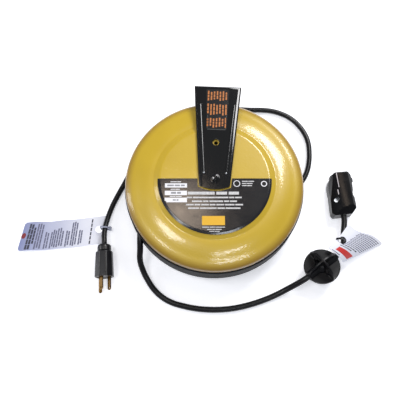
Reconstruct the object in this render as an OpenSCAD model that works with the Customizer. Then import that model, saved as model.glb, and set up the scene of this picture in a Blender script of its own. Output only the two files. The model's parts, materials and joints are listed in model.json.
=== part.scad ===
// Retractable extension cord reel in a round sheet-metal housing, lying on its back.
// The reel's axis is Z, the rest face on the terminal cover is z = 0, and the
// bracket leans a little off +Y. Millimetres throughout.

/* [Housing] */
// Outer radius of the front cover's skirt
cover_r = 120.5; // [119:0.5:135]
// Height of the flat front face above the rest face
front_h = 76; // [75:0.5:90]
// Radius of the flat front face
plateau_r = 71.5; // [60:0.5:78]
// Width of the rounded step round the flat face
shoulder_w = 11; // [6:0.5:14]
// Height of the rounded step round the flat face
shoulder_h = 4.5; // [2:0.5:6]
// Distance of the rim's crease in from the skirt
crease_in = 16.5; // [12:0.5:22]
// Depth of the rim's crease below the flat face
crease_drop = 9; // [7:0.5:9.5]
// Depth of the skirt's lower edge below the flat face
skirt_drop = 22; // [18:0.5:24]
// Thickness of both covers' steel sheet
sheet = 1.2; // [0.8:0.1:1.6]
// Step of the rear cover's wall out past the skirt
pan_step = 1.5; // [1.2:0.1:3]
// Corner radius at the rear cover's back
pan_corner = 8; // [5:0.5:12]
// Length of the rear cover's lip inside the skirt
pan_lap = 3.8; // [3:0.1:5]
// Gap between the two covers' lapped walls
lap_gap = 0.3; // [0.2:0.05:0.5]
// Diameter of the bracket's locating hole in the front cover
lock_hole_d = 5.5; // [4:0.5:7]

/* [Shaft] */
// Diameter of the fixed main shaft
shaft_d = 16; // [14:0.5:18]
// Diameter of the shaft's bottom flange
shaft_flange_d = 40; // [36:1:41]
// Thickness of the shaft's bottom flange
shaft_flange_t = 4.8; // [4:0.1:6]
// Diameter of the pivot that the bracket turns on
pivot_d = 10; // [9:0.5:12]
// Running gap between a shaft or pin and its bore, on the radius
run_gap = 0.05; // [0.03:0.01:0.09]
// Bolt circle of the four screws in the shaft's flange
shaft_pcd = 30; // [28:0.5:31]
// Thread diameter of the screws in the shaft's flange
shaft_screw_d = 4; // [3:0.5:5]

/* [Bracket] */
// Turn of the bracket off +Y, clockwise from the front
bracket_lean = 2.4; // [0:0.1:10]
// Thickness of the bracket's steel
bracket_t = 2.5; // [2:0.1:3.5]
// Thickness of the nylon washer under the leg
washer_t = 0.8; // [0.5:0.1:2]
// Width of the leg at its lower corners
leg_end_w = 41; // [36:0.5:48]
// Width of the leg and plate at the top
leg_top_w = 65; // [50:0.5:70]
// Distance of the leg's end past the axis
leg_end = 15; // [13:0.5:20]
// Radius of the leg's rounded end
leg_end_r = 48; // [40:1:80]
// Distance from the housing's wall to the plate's outer face
plate_gap = 17; // [12:0.5:28]
// Outer radius of the bend between leg and plate
plate_bend = 6; // [4:0.5:10]
// Height of the plate's lower edge above the rest face
plate_low = 14; // [14:0.5:20]
// Bolt circle of the plate's four mounting holes
plate_pcd = 54; // [44:1:56]
// Diameter of the plate's mounting holes
plate_hole_d = 7.2; // [5:0.1:9]
// Distance from the axis to the locating hole
lock_r = 52; // [40:1:60]
// Diameter of the locating hole in the leg
leg_lock_d = 9; // [7:0.5:10]
// Width of each stamped rib on the leg
rib_w = 5; // [4:0.5:7]
// Height of each stamped rib above the leg
rib_h = 1.2; // [0.8:0.1:1.5]
// Flange diameter of the bracket bolt
bolt_flange_d = 13.2; // [13:0.1:16]
// Width across flats of the bracket bolt
bolt_af = 8.7; // [8:0.1:10]
// Thread diameter of the bracket bolt
bolt_d = 6; // [5:0.5:6]

/* [Spool] */
// Gap between the spool's flanges and the rear cover's lip
spool_gap = 15; // [14:0.5:18]
// Thickness of the spool's flanges
flange_t = 1.2; // [0.8:0.1:1.5]
// Gap between the front flange and the rim's crease
spool_head = 2.6; // [2:0.1:6]
// Gap between the brush holder's edge and the radius of the hub's bore
hub_gap = 1.5; // [1:0.1:4]
// Thickness of the hub's wall
hub_wall = 6; // [6:0.25:7]
// Thickness of the hub's rear web and front cover
hub_web = 4; // [3:0.5:5]
// Space between the rear cover's floor and the spool
spool_lift = 16.8; // [16.6:0.1:18]
// Width of the bare flange outside the wound cord
cord_margin = 6; // [5:1:30]
// Outer radius of the shaft bushings
bush_r = 11; // [10:0.5:12]
// Outer radius of the hub's bearing bosses
boss_r = 16; // [14:0.5:16]
// Turns of the power spring
spring_turns = 7; // [4:1:9]
// Strip thickness of the power spring
spring_t = 0.8; // [0.4:0.1:1.2]
// Gap at each side of the power spring
spring_side = 0.9; // [0.5:0.1:4]
// Distance of the ratchet's edge out from the hub
ratchet_out = 25; // [22:0.5:28]
// Thickness of the ratchet and pawl
ratchet_t = 3; // [2.5:0.1:3]
// Diameter of the pawl's pin
pawl_pin_d = 5; // [4:0.5:6]

/* [Electrical] */
// Height of the terminal cover at the back
boss_h = 13; // [13:0.5:16]
// Radius of the terminal cover
boss_cover_r = 46; // [46:0.5:50]
// Wall thickness of the terminal cover
boss_wall = 2; // [1.5:0.25:2.5]
// Width of the brush holder's rim outside the brushes
holder_rim = 2.5; // [2:0.25:4]
// Gap between the brush holder and the slip rings
holder_gap = 1.5; // [1:0.1:3]
// Radial width of each slip ring
ring_w = 4; // [3:0.5:5]
// Distance of the first slip ring's middle line out from the shaft's flange
ring_out = 6; // [5:0.5:8]
// Radial pitch of the slip rings
ring_pitch = 8; // [7:0.5:8]
// Side of the square brushes
brush_side = 6; // [5:0.5:6]
// Diameter of the feeder cord
feeder_d = 7.6; // [7:0.1:8]
// Diameter of the outlet cord
outlet_d = 8.2; // [7.4:0.1:8.2]
// Play of the cord in the cord guide's bore
guide_play = 1.2; // [0.8:0.1:2]
// Outer diameter of the cord guide
guide_d = 16; // [15:0.5:18]
// Height of the cord guide's middle above the spool's back
guide_lift = 7; // [6:0.5:9]
// Distance of the cord guide's middle in from the spool's edge
guide_inset = 3.7; // [3:0.1:8]

/* [Cord ends] */
// Radius of the ball stop
ball_r = 24.5; // [24:0.5:26]
// Depth of the pockets in the ball stop
ball_pocket = 3; // [2:0.5:4]
// Thickness of the ribs between the ball stop's pockets
ball_rib = 2.4; // [2:0.2:4]
// Length of the plug's body in front of its collar
plug_len = 35; // [30:0.5:40]
// Width across flats of the plug's front end
plug_w = 25.4; // [24:0.2:28]
// Length of the plug's collar
plug_collar_len = 11; // [8:0.5:14]
// Diameter of the plug's collar
plug_collar_d = 19; // [16:0.5:20]
// Length of the outlet body
outlet_len = 61; // [56:0.5:70]
// Height of the outlet body
outlet_h = 30; // [28:0.5:32]
// Thickness of the vinyl tags
tag_t = 0.6; // [0.4:0.1:0.8]
// Thickness of the printed labels
label_t = 0.25; // [0.2:0.05:0.4]
// Width of the main label's edge on the rounded step
label_over = 4.1; // [2:0.1:6]
// Width of the bracket's label at its low end
sticker_low_w = 26.4; // [22:0.2:30]
// Width of the bracket's label at its top end
sticker_top_w = 32; // [26:0.5:40]
// Distance of the bracket's label from the locating hole
sticker_gap = 13; // [8:0.5:20]

/* [Hidden] */
$fn = 96;

black_paint = "#1c1d20";
yellow_paint = "#d2b046";
bright_steel = "#b9bcc0";
brass = "#c39a4c";
black_plastic = "#222326";
pale_nylon = "#e8e6dd";
white_vinyl = "#f2f2f4";

eps = 0.01;
seat = 0.1;              // gap left between parts that bear on each other but turn
fit_gap = 0.02;          // gap round parts that are fixed on a shaft
soft_gap = 0.3;          // gap left round loose and curved parts
both = [-1, 1];

// Levels up the housing
floor_z = boss_h + sheet;                 // inside of the rear cover's floor
skirt_z = front_h - skirt_drop;           // lower edge of the front cover
roof_z = front_h - sheet;                 // inside of the flat front face
pan_r = cover_r + pan_step;               // rear cover's wall
lip_r = cover_r - sheet - lap_gap;        // rear cover's lip inside the skirt
crease_r = cover_r - crease_in;
crease_z = front_h - crease_drop;
leg_z = front_h + washer_t;               // underside of the bracket's leg
leg_top_z = leg_z + bracket_t;            // top of the bracket's leg

// Levels up the spool
spool_z = floor_z + spool_lift;           // back of the rear flange
drum_z = spool_z + flange_t;              // back of the hub
spool_top = crease_z - sheet - spool_head;  // front of the front flange
drum_top = spool_top - flange_t;          // front of the hub
spool_w = drum_top - drum_z;
flange_r = lip_r - spool_gap;
wound_r = flange_r - cord_margin;
shaft_r = shaft_d / 2;
flange_top = floor_z + shaft_flange_t;    // top of the shaft's flange
thrust_t = 2;
boss_z = flange_top + thrust_t;           // rear end of the hub's rear boss
front_boss_z = drum_top + 4;              // front end of the hub cover's boss
collar_h = 4;

// Brushes and rings
ring_radii = [for (i = [0:2]) shaft_flange_d / 2 + ring_out + i * ring_pitch];
carrier_t = 5;
carrier_z = spool_z - carrier_t;
ring_proud = 0.3;
holder_r = ring_radii[2] + brush_side / 2 + holder_rim;
holder_t = spool_lift - carrier_t - ring_proud - holder_gap;
hub_in_r = holder_r + hub_gap;
hub_r = hub_in_r + hub_wall;
ratchet_r = hub_r + ratchet_out;
spring_w = spool_w - 2 * hub_web - 2 * spring_side;
ring_t = 1.8;
ring_z = carrier_z - ring_proud;          // face that the brushes touch
holder_in_r = shaft_flange_d / 2 + 1;
pocket_floor = 2;
brush_len = holder_t - 2 * pocket_floor;
ground_turn = 120;

// Bracket's own layout, before it is turned
lock_pos = [0, lock_r];
plate_y = pan_r + plate_gap;
leg_end_cy = leg_end_r - leg_end;
leg_corner_y = leg_end_cy - sqrt(pow(leg_end_r, 2) - pow(leg_end_w / 2, 2));
plate_mid_z = (plate_low + leg_top_z) / 2;
rib_low = [15, 9];
rib_high = [24, plate_y - 25];
pip_pos = [-18.6, -8.8];

// Cord guide: the cord leaves the drum on a tangent and goes out through the wall
guide_x = guide_inset - flange_r;
guide_z = spool_z + guide_lift;
guide_bore_d = outlet_d + guide_play;
guide_in_r = flange_r + 4;
guide_out_r = pan_r + 0.4;
guide_y = -sqrt(pow(pan_r, 2) - pow(guide_x, 2));

// Pawl, laid out with its nose at +Y and then turned to its place
pawl_turn = 210;
pawl_pivot = [32, ratchet_r + 12];
pawl_z = spool_z - ratchet_t - 0.4;
notches = 12;            // one every 30 degrees, so that the pawl stands in one at rest
notch_w = 14;
notch_depth = 7;

// Feeder cord, from the strain relief to the plug
relief_z = boss_h - 5.8;
relief_len = 26;
relief_start = boss_cover_r;
end_run = 4;             // straight length of a cord where it ends square on a piece
plug_pos = [-152.2, -73, plug_w / 2 + soft_gap];
plug_turn = -87;
feeder_route = [[relief_start + relief_len, 0, relief_z],
  [relief_start + relief_len + end_run, 0, relief_z], [86, 0.3, 6.6], [97, 2, 5.4], [110, 7, 4.3],
  [121, 15, 4], [130, 25, 4], [137, 38, 4], [141, 53, 4], [142.5, 70, 4], [141.5, 86, 4],
  [137, 100, 4], [129, 113, 4],
  [118.5, 124, 4], [105, 132, 4], [90, 137, 4], [74, 138.8, 4], [57, 139, 4], [40, 140, 4],
  [22, 140.5, 4], [4, 139.5, 4], [-14, 137, 4], [-32, 132, 4], [-50, 124.5, 4], [-67, 114, 4],
  [-82, 101, 4], [-95, 86, 4], [-106, 69, 4], [-115, 51, 4], [-122.5, 34, 4], [-130, 18, 4],
  [-138, 1.5, 4], [-143.8, -11.5, 4.2], [-148, -24, 5], [-151, -36, 6.8], [-153, -48, 9],
  [-153.2, -60, 11.7], plug_pos - end_run * [cos(plug_turn), sin(plug_turn), 0], plug_pos];

// Outlet cord, from the drum through the guide and the ball to the outlet
ball_pos = [145.2, -106.7, ball_r];
ball_turn = 36;          // direction of the cord through the ball
ball_dir = [cos(ball_turn), sin(ball_turn), 0];
outlet_pos = [182.8, -32, outlet_h / 2];
outlet_turn = 6;
outlet_route = [[-103, -6, 43], [-102, -24, 40.5], [-100.8, -40, 38.3], [-100.3, -55, 38],
  [-100.3, -70, 37.7], [-100.2, -84, 32], [-100.8, -97, 23.5], [-97.5, -109, 15], [-91.5, -121, 9.5],
  [-83, -133.5, 6], [-72, -144, 4.6], [-58, -152, 4.3], [-42, -156.8, 4.3], [-26, -160, 4.3],
  [-9, -161.6, 4.3], [8, -161.6, 4.3], [25, -160, 4.3], [42, -156.6, 4.3], [58, -152, 4.3],
  [73, -146.6, 4.5], [87, -140.6, 6.3], [99.5, -134.6, 10.5], [110, -129.6, 16.5], [118, -125.6, 21.6],
  ball_pos - (ball_r + 0.5) * ball_dir, ball_pos, ball_pos + (ball_r + 0.5) * ball_dir,
  [170.3, -87.9, 24.2], [174.3, -82.8, 23.1], [177, -77, 21.5], [178.6, -70, 19.5], [180.3, -57, 16.5],
  [182.3, -46, 15.3],
  outlet_pos - end_run * [-sin(outlet_turn), cos(outlet_turn), 0], outlet_pos];
ball_roll = -10;         // roll of the ball about the cord

// Plug, its axis pointing from the collar to the pins
plug_roll = 137;         // the ground pin lies low, on the left
pin_gap = 6.35;          // half the distance between the two blades
ground_off = 11.9;       // distance of the ground pin from the blades' line
blade_row = -4;          // place of the blades' line below the outlet's middle
plug_row = -2.7;         // and below the plug's middle
blade_w = 6.35;
blade_t = 1.5;
blade_out = 17.5;
ground_d = 4.75;
ground_out = 20.6;

// Outlet body, its axis pointing from the cord to the face
contact_w = 7.5;

// ---------------------------------------------------------------- helpers
function unit(v) = v / norm(v);
function arc(c, r, a, b, n) =
  [for (i = [0:n]) let (t = a + (b - a) * i / n) c + r * [cos(t), sin(t)]];
function bend(p, c, q, n) =
  [for (i = [0:n]) let (t = i / n) pow(1 - t, 2) * p + 2 * t * (1 - t) * c + t * t * q];
function turned(list) = [for (i = [len(list) - 1:-1:0]) list[i]];
// A path moved d to its left
function beside(path, d) = [for (i = [0:len(path) - 1])
  let (u = unit(path[min(i + 1, len(path) - 1)] - path[max(i - 1, 0)])) path[i] + d * [-u[1], u[0]]];
function wall(path, d) = concat(path, turned(beside(path, d)));

// Ring of points round a route's point i, square to its tangent there
function tangent(route, i) =
  unit(route[min(i + 1, len(route) - 1)] - route[max(i - 1, 0)]);
function cord_ring(route, i, r, sides) =
  let (t = tangent(route, i), s = unit(cross(t, [0, 0, 1])), u = cross(s, t))
  [for (k = [0:sides - 1]) let (a = 360 * (k + 0.5) / sides) route[i] + r * (cos(a) * s + sin(a) * u)];

module cord(route, d, sides = 8) {
  n = len(route);
  points = [for (i = [0:n - 1]) each cord_ring(route, i, d / 2, sides)];
  skin = [for (i = [0:n - 2], k = [0:sides - 1])
    let (a = i * sides + k, b = i * sides + (k + 1) % sides) [a, b, b + sides, a + sides]];
  start = [for (k = [sides - 1:-1:0]) k];
  end = [for (k = [0:sides - 1]) (n - 1) * sides + k];
  polyhedron(points, concat([start], skin, [end]), convexity = 10);
}

// Thin sheet between two equal grids of points
module vinyl(grid, t) {
  rows = len(grid);
  cols = len(grid[0]);
  low = [for (r = grid) each r];
  high = [for (p = low) p + [0, 0, t]];
  size = rows * cols;
  top = [for (i = [0:rows - 2], j = [0:cols - 2]) let (a = size + i * cols + j)
    each [[a, a + 1, a + cols + 1], [a, a + cols + 1, a + cols]]];
  bottom = [for (f = top) [for (k = [2, 1, 0]) f[k] - size]];
  edge = concat([for (j = [0:cols - 1]) j], [for (i = [1:rows - 1]) i * cols + cols - 1],
    [for (j = [cols - 2:-1:0]) (rows - 1) * cols + j], [for (i = [rows - 2:-1:1]) i * cols]);
  sides = [for (k = [0:len(edge) - 1]) let (a = edge[k], b = edge[(k + 1) % len(edge)])
    each [[a, b, b + size], [a, b + size, a + size]]];
  polyhedron(concat(low, high), concat(turned_faces(top), turned_faces(bottom), turned_faces(sides)),
    convexity = 6);
}
function turned_faces(faces) = [for (f = faces) turned(f)];

module tube(r, bore, h) {
  difference() {
    cylinder(r = r, h = h);
    translate([0, 0, -eps]) cylinder(r = bore, h = h + 2 * eps);
  }
}
module ring_of(n, r, first = 0) {
  for (i = [0:n - 1]) rotate([0, 0, first + i * 360 / n]) translate([r, 0, 0]) children();
}
// Hexagon head, width across flats af
module hex(af, h) {
  cylinder(d = af / cos(30), h = h, $fn = 6);
}
module at_outlet() {
  translate(outlet_pos) rotate([0, 0, outlet_turn]) children();
}
module at_ball() {
  translate(ball_pos) rotate([0, 0, ball_turn]) rotate([ball_roll, 0, 0]) children();
}
// The plug's own frame: X along the pins, away from the cord
module at_plug() {
  translate(plug_pos) rotate([0, 0, plug_turn]) rotate([plug_roll, 0, 0]) children();
}
module at_pawl() {
  rotate([0, 0, pawl_turn]) children();
}
module at_bracket() {
  rotate([0, 0, -bracket_lean]) children();
}

// ---------------------------------------------------------------- housing
shoulder_r = plateau_r + shoulder_w;
shoulder_z = front_h - shoulder_h;
cover_path = concat([[0, front_h]],
  [for (i = [0:8]) [plateau_r + shoulder_w * i / 8, front_h - shoulder_h * (1 - cos(22.5 * i)) / 2]],
  bend([shoulder_r + 3, shoulder_z - 0.1], [(shoulder_r + crease_r) / 2, shoulder_z - 0.6],
    [crease_r, crease_z], 5),
  bend([crease_r + 3, crease_z - 1], [cover_r - 0.6, crease_z - 4],
    [cover_r, skirt_z + pan_lap + lap_gap], 7),
  [[cover_r, skirt_z]]);
joggle_h = 5;            // height of the step below the skirt where the wall moves in
pan_path = concat([[0, boss_h], [pan_r - pan_corner - 2, boss_h]],
  arc([pan_r - pan_corner, boss_h + pan_corner], pan_corner, -90, 0, 6),
  [[pan_r, skirt_z - joggle_h], [pan_r, skirt_z - 4], [pan_r - 0.4, skirt_z - 3.2],
   [lip_r + 0.4, skirt_z - 1], [lip_r, skirt_z - 0.2], [lip_r, skirt_z + 1],
   [lip_r, skirt_z + pan_lap]]);

module front_cover() {
  color(yellow_paint) difference() {
    rotate_extrude($fn = 144) polygon(wall(cover_path, -sheet));
    translate([0, 0, roof_z - 1]) cylinder(r = pivot_d / 2 + run_gap, h = sheet + 2);
    at_bracket() translate([lock_pos[0], lock_pos[1], roof_z - 1])
      cylinder(d = lock_hole_d, h = sheet + 2);
  }
}

guide_cut_in = 45;       // how far a cut along the guide's axis starts inside the wall
guide_cut_out = 15;      // and how far it ends outside
module guide_hole(d) {
  translate([guide_x, guide_y + guide_cut_in, guide_z]) rotate([90, 0, 0])
    cylinder(d = d, h = guide_cut_in + guide_cut_out);
}

terminal_screw_r = boss_cover_r - 7;
lead_y = 16 - boss_cover_r;
lead_pitch = 10;
module rear_cover() {
  color(black_paint) difference() {
    rotate_extrude($fn = 144) polygon(wall(pan_path, sheet));
    translate([0, 0, boss_h - 1]) {
      ring_of(4, shaft_pcd / 2, 45) cylinder(d = shaft_screw_d + 0.3, h = sheet + 2);
      ring_of(4, terminal_screw_r, 45) cylinder(d = terminal_screw_d + 0.3, h = sheet + 2);
      for (i = [-1:1]) translate([i * lead_pitch, lead_y, 0]) cylinder(d = lead_d + 1.4, h = sheet + 2);
      at_pawl() translate(pawl_pivot) cylinder(d = pawl_rivet_d + 0.1, h = sheet + 2);
    }
    guide_hole(guide_d + 0.1);
  }
}

module main_label() {
  label_path = [for (p = cover_path) if (p[0] < label_r) p];
  tail = [label_r, front_h - shoulder_h * (1 - cos(180 * (label_r - plateau_r) / shoulder_w)) / 2];
  color("#202124") difference() {
    rotate_extrude($fn = 144) polygon(wall(beside(concat(label_path, [tail]), 0.02), label_t));
    translate([-2 * label_r, label_edge, front_h - 10]) cube([4 * label_r, 2 * label_r, 20]);
    at_bracket() translate([0, 0, front_h - 1]) linear_extrude(3) polygon(leg_outline(label_margin));
  }
}
label_r = plateau_r + label_over;
label_edge = 0.9;        // straight edge, just above the axis
label_margin = 1.4;      // bare margin round the bracket's end

module main_shaft() {
  color(bright_steel) difference() {
    union() {
      translate([0, 0, floor_z]) cylinder(d = shaft_flange_d, h = shaft_flange_t);
      translate([0, 0, floor_z]) cylinder(r = shaft_r, h = roof_z - floor_z);
      translate([0, 0, floor_z]) cylinder(r = pivot_d / 2, h = leg_top_z + seat - floor_z);
    }
    translate([0, 0, floor_z - 1]) ring_of(4, shaft_pcd / 2, 45)
      cylinder(d = shaft_screw_d + 0.1, h = shaft_flange_t + 2);
    translate([0, 0, leg_top_z - bolt_len]) cylinder(d = bolt_d + 0.1, h = bolt_len + 1);
  }
}
bolt_len = 18;

module shaft_screws() {
  head_h = 2.4;
  color(bright_steel) ring_of(4, shaft_pcd / 2, 45) difference() {
    union() {
      translate([0, 0, boss_h - head_h]) cylinder(d = shaft_screw_d * 1.9, h = head_h);
      translate([0, 0, boss_h - eps]) cylinder(d = shaft_screw_d, h = sheet + shaft_flange_t - 0.5);
    }
    translate([0, 0, boss_h - head_h - eps]) hex(shaft_screw_d * 0.6, 1.4);
  }
}

module retaining_collar() {
  color(bright_steel) translate([0, 0, front_boss_z + seat]) difference() {
    tube(shaft_r + 5, shaft_r + fit_gap, collar_h);
    translate([shaft_r - 1, 0, collar_h / 2]) rotate([0, 90, 0]) cylinder(d = 3, h = 8);
  }
}

module thrust_washer() {
  color(pale_nylon) translate([0, 0, flange_top]) tube(boss_r - 1, shaft_r + run_gap, thrust_t - seat);
}

arbor_r = shaft_r + 4;
module spring_arbor() {
  web_top = drum_z + hub_web;
  color(bright_steel) translate([0, 0, web_top + 0.2]) difference() {
    tube(arbor_r, shaft_r + fit_gap, drum_top - hub_web - web_top - 0.4);
    translate([arbor_r - 2, -0.6, 2]) cube([3, 1.2, spring_w]);
  }
}

// Nylon guide in the wall, with a collar behind the wall and belled at both ends
in_bell = 20;
out_bell = 14;
bell_flare = 0.6;        // growth of the bells' diameter along their length
guide_collar_t = 2.5;
guide_collar_d = guide_d + 6;
module cord_guide() {
  inner_y = -sqrt(pow(guide_in_r, 2) - pow(guide_x, 2));
  color(black_plastic) difference() {
    union() {
      intersection() {
        guide_hole(guide_d);
        translate([0, 0, guide_z - guide_d]) tube(guide_out_r, guide_in_r, 2 * guide_d);
      }
      intersection() {
        guide_hole(guide_collar_d);
        translate([0, 0, boss_h + pan_corner])
          tube(pan_r - sheet - seat, pan_r - sheet - seat - guide_collar_t,
            skirt_z - joggle_h - boss_h - pan_corner);
      }
    }
    guide_hole(guide_bore_d);
    translate([guide_x, inner_y + in_bell, guide_z]) rotate([90, 0, 0])
      cylinder(d1 = guide_bore_d + bell_flare * in_bell, d2 = guide_bore_d, h = in_bell + 2);
    translate([guide_x, guide_y + 2, guide_z]) rotate([90, 0, 0])
      cylinder(d1 = guide_bore_d, d2 = guide_bore_d + bell_flare * out_bell, h = out_bell);
  }
}

// ---------------------------------------------------------------- electrics
brush_z = ring_z - seat - brush_len;
module brush_holder() {
  color("#5a3a26") difference() {
    translate([0, 0, floor_z]) tube(holder_r, holder_in_r, holder_t);
    for (i = [0:2]) rotate([0, 0, 90 + i * ground_turn])
      translate([ring_radii[i] - brush_side / 2 - 0.2, -brush_side / 2 - 0.2, floor_z + pocket_floor])
        cube([brush_side + 0.4, brush_side + 0.4, holder_t]);
    translate([0, 0, floor_z - 1]) {
      ring_of(4, terminal_screw_r, 45) cylinder(d = terminal_screw_d + 0.1, h = 6);
      for (i = [-1:1]) translate([i * lead_pitch, lead_y, 0]) cylinder(d = lead_d + 0.1, h = 4);
    }
  }
}
module at_brush(i) {
  rotate([0, 0, 90 + i * ground_turn]) translate([ring_radii[i], 0, 0]) children();
}
module brushes() {
  color("#3a3a3c") for (i = [0:2]) at_brush(i)
    translate([-brush_side / 2, -brush_side / 2, brush_z]) cube([brush_side, brush_side, brush_len]);
}
// Short coil springs under the brushes
module brush_springs() {
  low = floor_z + pocket_floor + seat;
  wire = 0.6;
  height = brush_z - seat - low;
  turns = 3;
  steps = 10 * turns;
  route = [for (k = [0:steps]) let (a = 360 * turns * k / steps)
    [(brush_side / 2 - wire) * cos(a), (brush_side / 2 - wire) * sin(a),
     low + wire / 2 + (height - wire) * k / steps]];
  color(bright_steel) for (i = [0:2]) at_brush(i) cord(route, wire, 5);
}
lead_d = 2.4;
module terminal_leads() {
  color(brass) for (i = [-1:1]) translate([i * lead_pitch, lead_y, boss_h - 4])
    cylinder(d = lead_d, h = 4 + sheet + 2.5);
}
block_h = 8;
block_w = 34;
block_d = 14;
module terminal_block() {
  color("#d9d5c6") difference() {
    translate([-block_w / 2, lead_y - block_d / 2, boss_h - block_h]) cube([block_w, block_d, block_h]);
    for (i = [-1:1]) translate([i * lead_pitch, lead_y, boss_h - 4 - eps]) cylinder(d = lead_d, h = 5);
    for (i = [-1:1]) translate([i * lead_pitch, lead_y, boss_h - block_h - eps])
      cylinder(d = terminal_d + 2.4, h = 2);
    for (i = [-1:1]) translate([i * lead_pitch, lead_y, boss_h - block_h - eps])
      cylinder(d = terminal_d + 0.1, h = 4);
  }
}
terminal_d = 3;
module terminal_screws() {
  color(brass) for (i = [-1:1]) translate([i * lead_pitch, lead_y, boss_h - block_h + 0.2]) difference() {
    union() {
      cylinder(d = terminal_d + 2.2, h = 1.7);
      cylinder(d = terminal_d, h = 3.7);
    }
    translate([-3, -0.4, -eps]) cube([6, 0.8, 0.8]);
  }
}
terminal_screw_d = 4;
screw_head_d = 7.6;
head_recess = 3.2;
module terminal_cover() {
  color(black_plastic) difference() {
    cylinder(r = boss_cover_r, h = boss_h);
    difference() {
      translate([0, 0, boss_wall]) cylinder(r = boss_cover_r - boss_wall, h = boss_h);
      ring_of(4, terminal_screw_r, 45) cylinder(d = screw_head_d + 3, h = boss_h);
    }
    ring_of(4, terminal_screw_r, 45) translate([0, 0, -eps]) {
      cylinder(d = terminal_screw_d + 0.3, h = boss_h + 1);
      cylinder(d = screw_head_d + 0.4, h = head_recess + eps);
    }
    translate([boss_cover_r - boss_wall - 1, 0, relief_z]) rotate([0, 90, 0])
      cylinder(r = relief_neck_r + 0.1, h = boss_wall + 2);
  }
}
module terminal_cover_screws() {
  color(bright_steel) ring_of(4, terminal_screw_r, 45) difference() {
    union() {
      translate([0, 0, 0.7]) cylinder(d = screw_head_d, h = head_recess - 0.7);
      translate([0, 0, head_recess - eps])
        cylinder(d = terminal_screw_d, h = boss_h + sheet - head_recess + 4);
    }
    for (a = [0, 90]) rotate([0, 0, a]) translate([-2.2, -0.5, 0]) cube([4.4, 1, 1.9]);
  }
}
relief_neck_r = 4.8;
relief_base_r = 5.7;
relief_tip_r = feeder_d / 2 + 0.5;
// Tapered strain relief with three grooves, its inner plate behind the wall
module feeder_strain_relief() {
  ribs = 4;
  pitch = 5;
  color(black_plastic) translate([relief_start, 0, relief_z]) rotate([0, 90, 0]) difference() {
    union() {
      cylinder(r1 = relief_base_r, r2 = relief_tip_r, h = relief_len);
      translate([0, 0, -boss_wall - 0.9]) cylinder(r = relief_neck_r, h = boss_wall + 1);
      translate([-relief_neck_r, -6, -boss_wall - 2.7]) cube([2 * relief_neck_r, 12, 1.9]);
    }
    for (i = [1:ribs]) translate([0, 0, 2 + i * pitch - 1])
      difference() {
        cylinder(r = 9, h = 1.4);
        translate([0, 0, -1]) cylinder(r = relief_tip_r - 0.3, h = 4);
      }
  }
}

// ---------------------------------------------------------------- ratchet and pawl
pawl_rivet_d = 5;
module pawl_pin() {
  color(bright_steel) at_pawl() translate([pawl_pivot[0], pawl_pivot[1], 0]) {
    translate([0, 0, boss_h - 0.8]) cylinder(d = pawl_rivet_d + 2.5, h = 0.8);
    translate([0, 0, boss_h - eps]) cylinder(d = pawl_rivet_d, h = sheet + 1);
    translate([0, 0, floor_z]) cylinder(d = pawl_pin_d + 4, h = pawl_z - seat - floor_z);
    translate([0, 0, floor_z]) cylinder(d = pawl_pin_d, h = spool_z - 0.2 - floor_z);
  }
}
nose_r = ratchet_r - notch_depth + 1.5;
module pawl() {
  px = pawl_pivot[0];
  py = pawl_pivot[1];
  color(bright_steel) at_pawl() translate([0, 0, pawl_z]) difference() {
    union() {
      linear_extrude(ratchet_t) polygon([[-4, nose_r], [4, nose_r], [5, ratchet_r + 4],
        [px - 5, py - 5], [px, py + 6], [10, py + 4], [-5, ratchet_r + 8]]);
      translate(pawl_pivot) cylinder(r = 6, h = ratchet_t);
    }
    translate([px, py, -1]) cylinder(r = pawl_pin_d / 2 + run_gap, h = ratchet_t + 2);
  }
}
// Torsion spring round the pawl pin, one leg along the pawl
module pawl_spring() {
  wire = 0.8;
  coil_r = pawl_pin_d / 2 + 2 + 0.5 + wire;
  leg_z = pawl_z - wire / 2 - seat;
  low = leg_z - 4.3;
  steps = 36;
  turns = 3;
  coil = [for (k = [0:steps]) let (a = 90 + 360 * turns * k / steps)
    [pawl_pivot[0] + coil_r * cos(a), pawl_pivot[1] + coil_r * sin(a), low + 4 * k / steps]];
  leg = [[pawl_pivot[0] - 8, pawl_pivot[1] + coil_r, leg_z],
    [pawl_pivot[0] - 22, pawl_pivot[1] + coil_r - 3, leg_z]];
  color(bright_steel) at_pawl() cord(concat(coil, leg), wire, 5);
}

// ---------------------------------------------------------------- bracket
// Outline of the leg, grown by margin m
function leg_outline(m = 0) =
  let (half = asin((leg_end_w / 2 + m) / (leg_end_r + m)))
  concat(arc([0, leg_end_cy], leg_end_r + m, -90 - half, -90 + half, 12),
    [[leg_top_w / 2 + m, plate_y - plate_bend], [-leg_top_w / 2 - m, plate_y - plate_bend]]);

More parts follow.
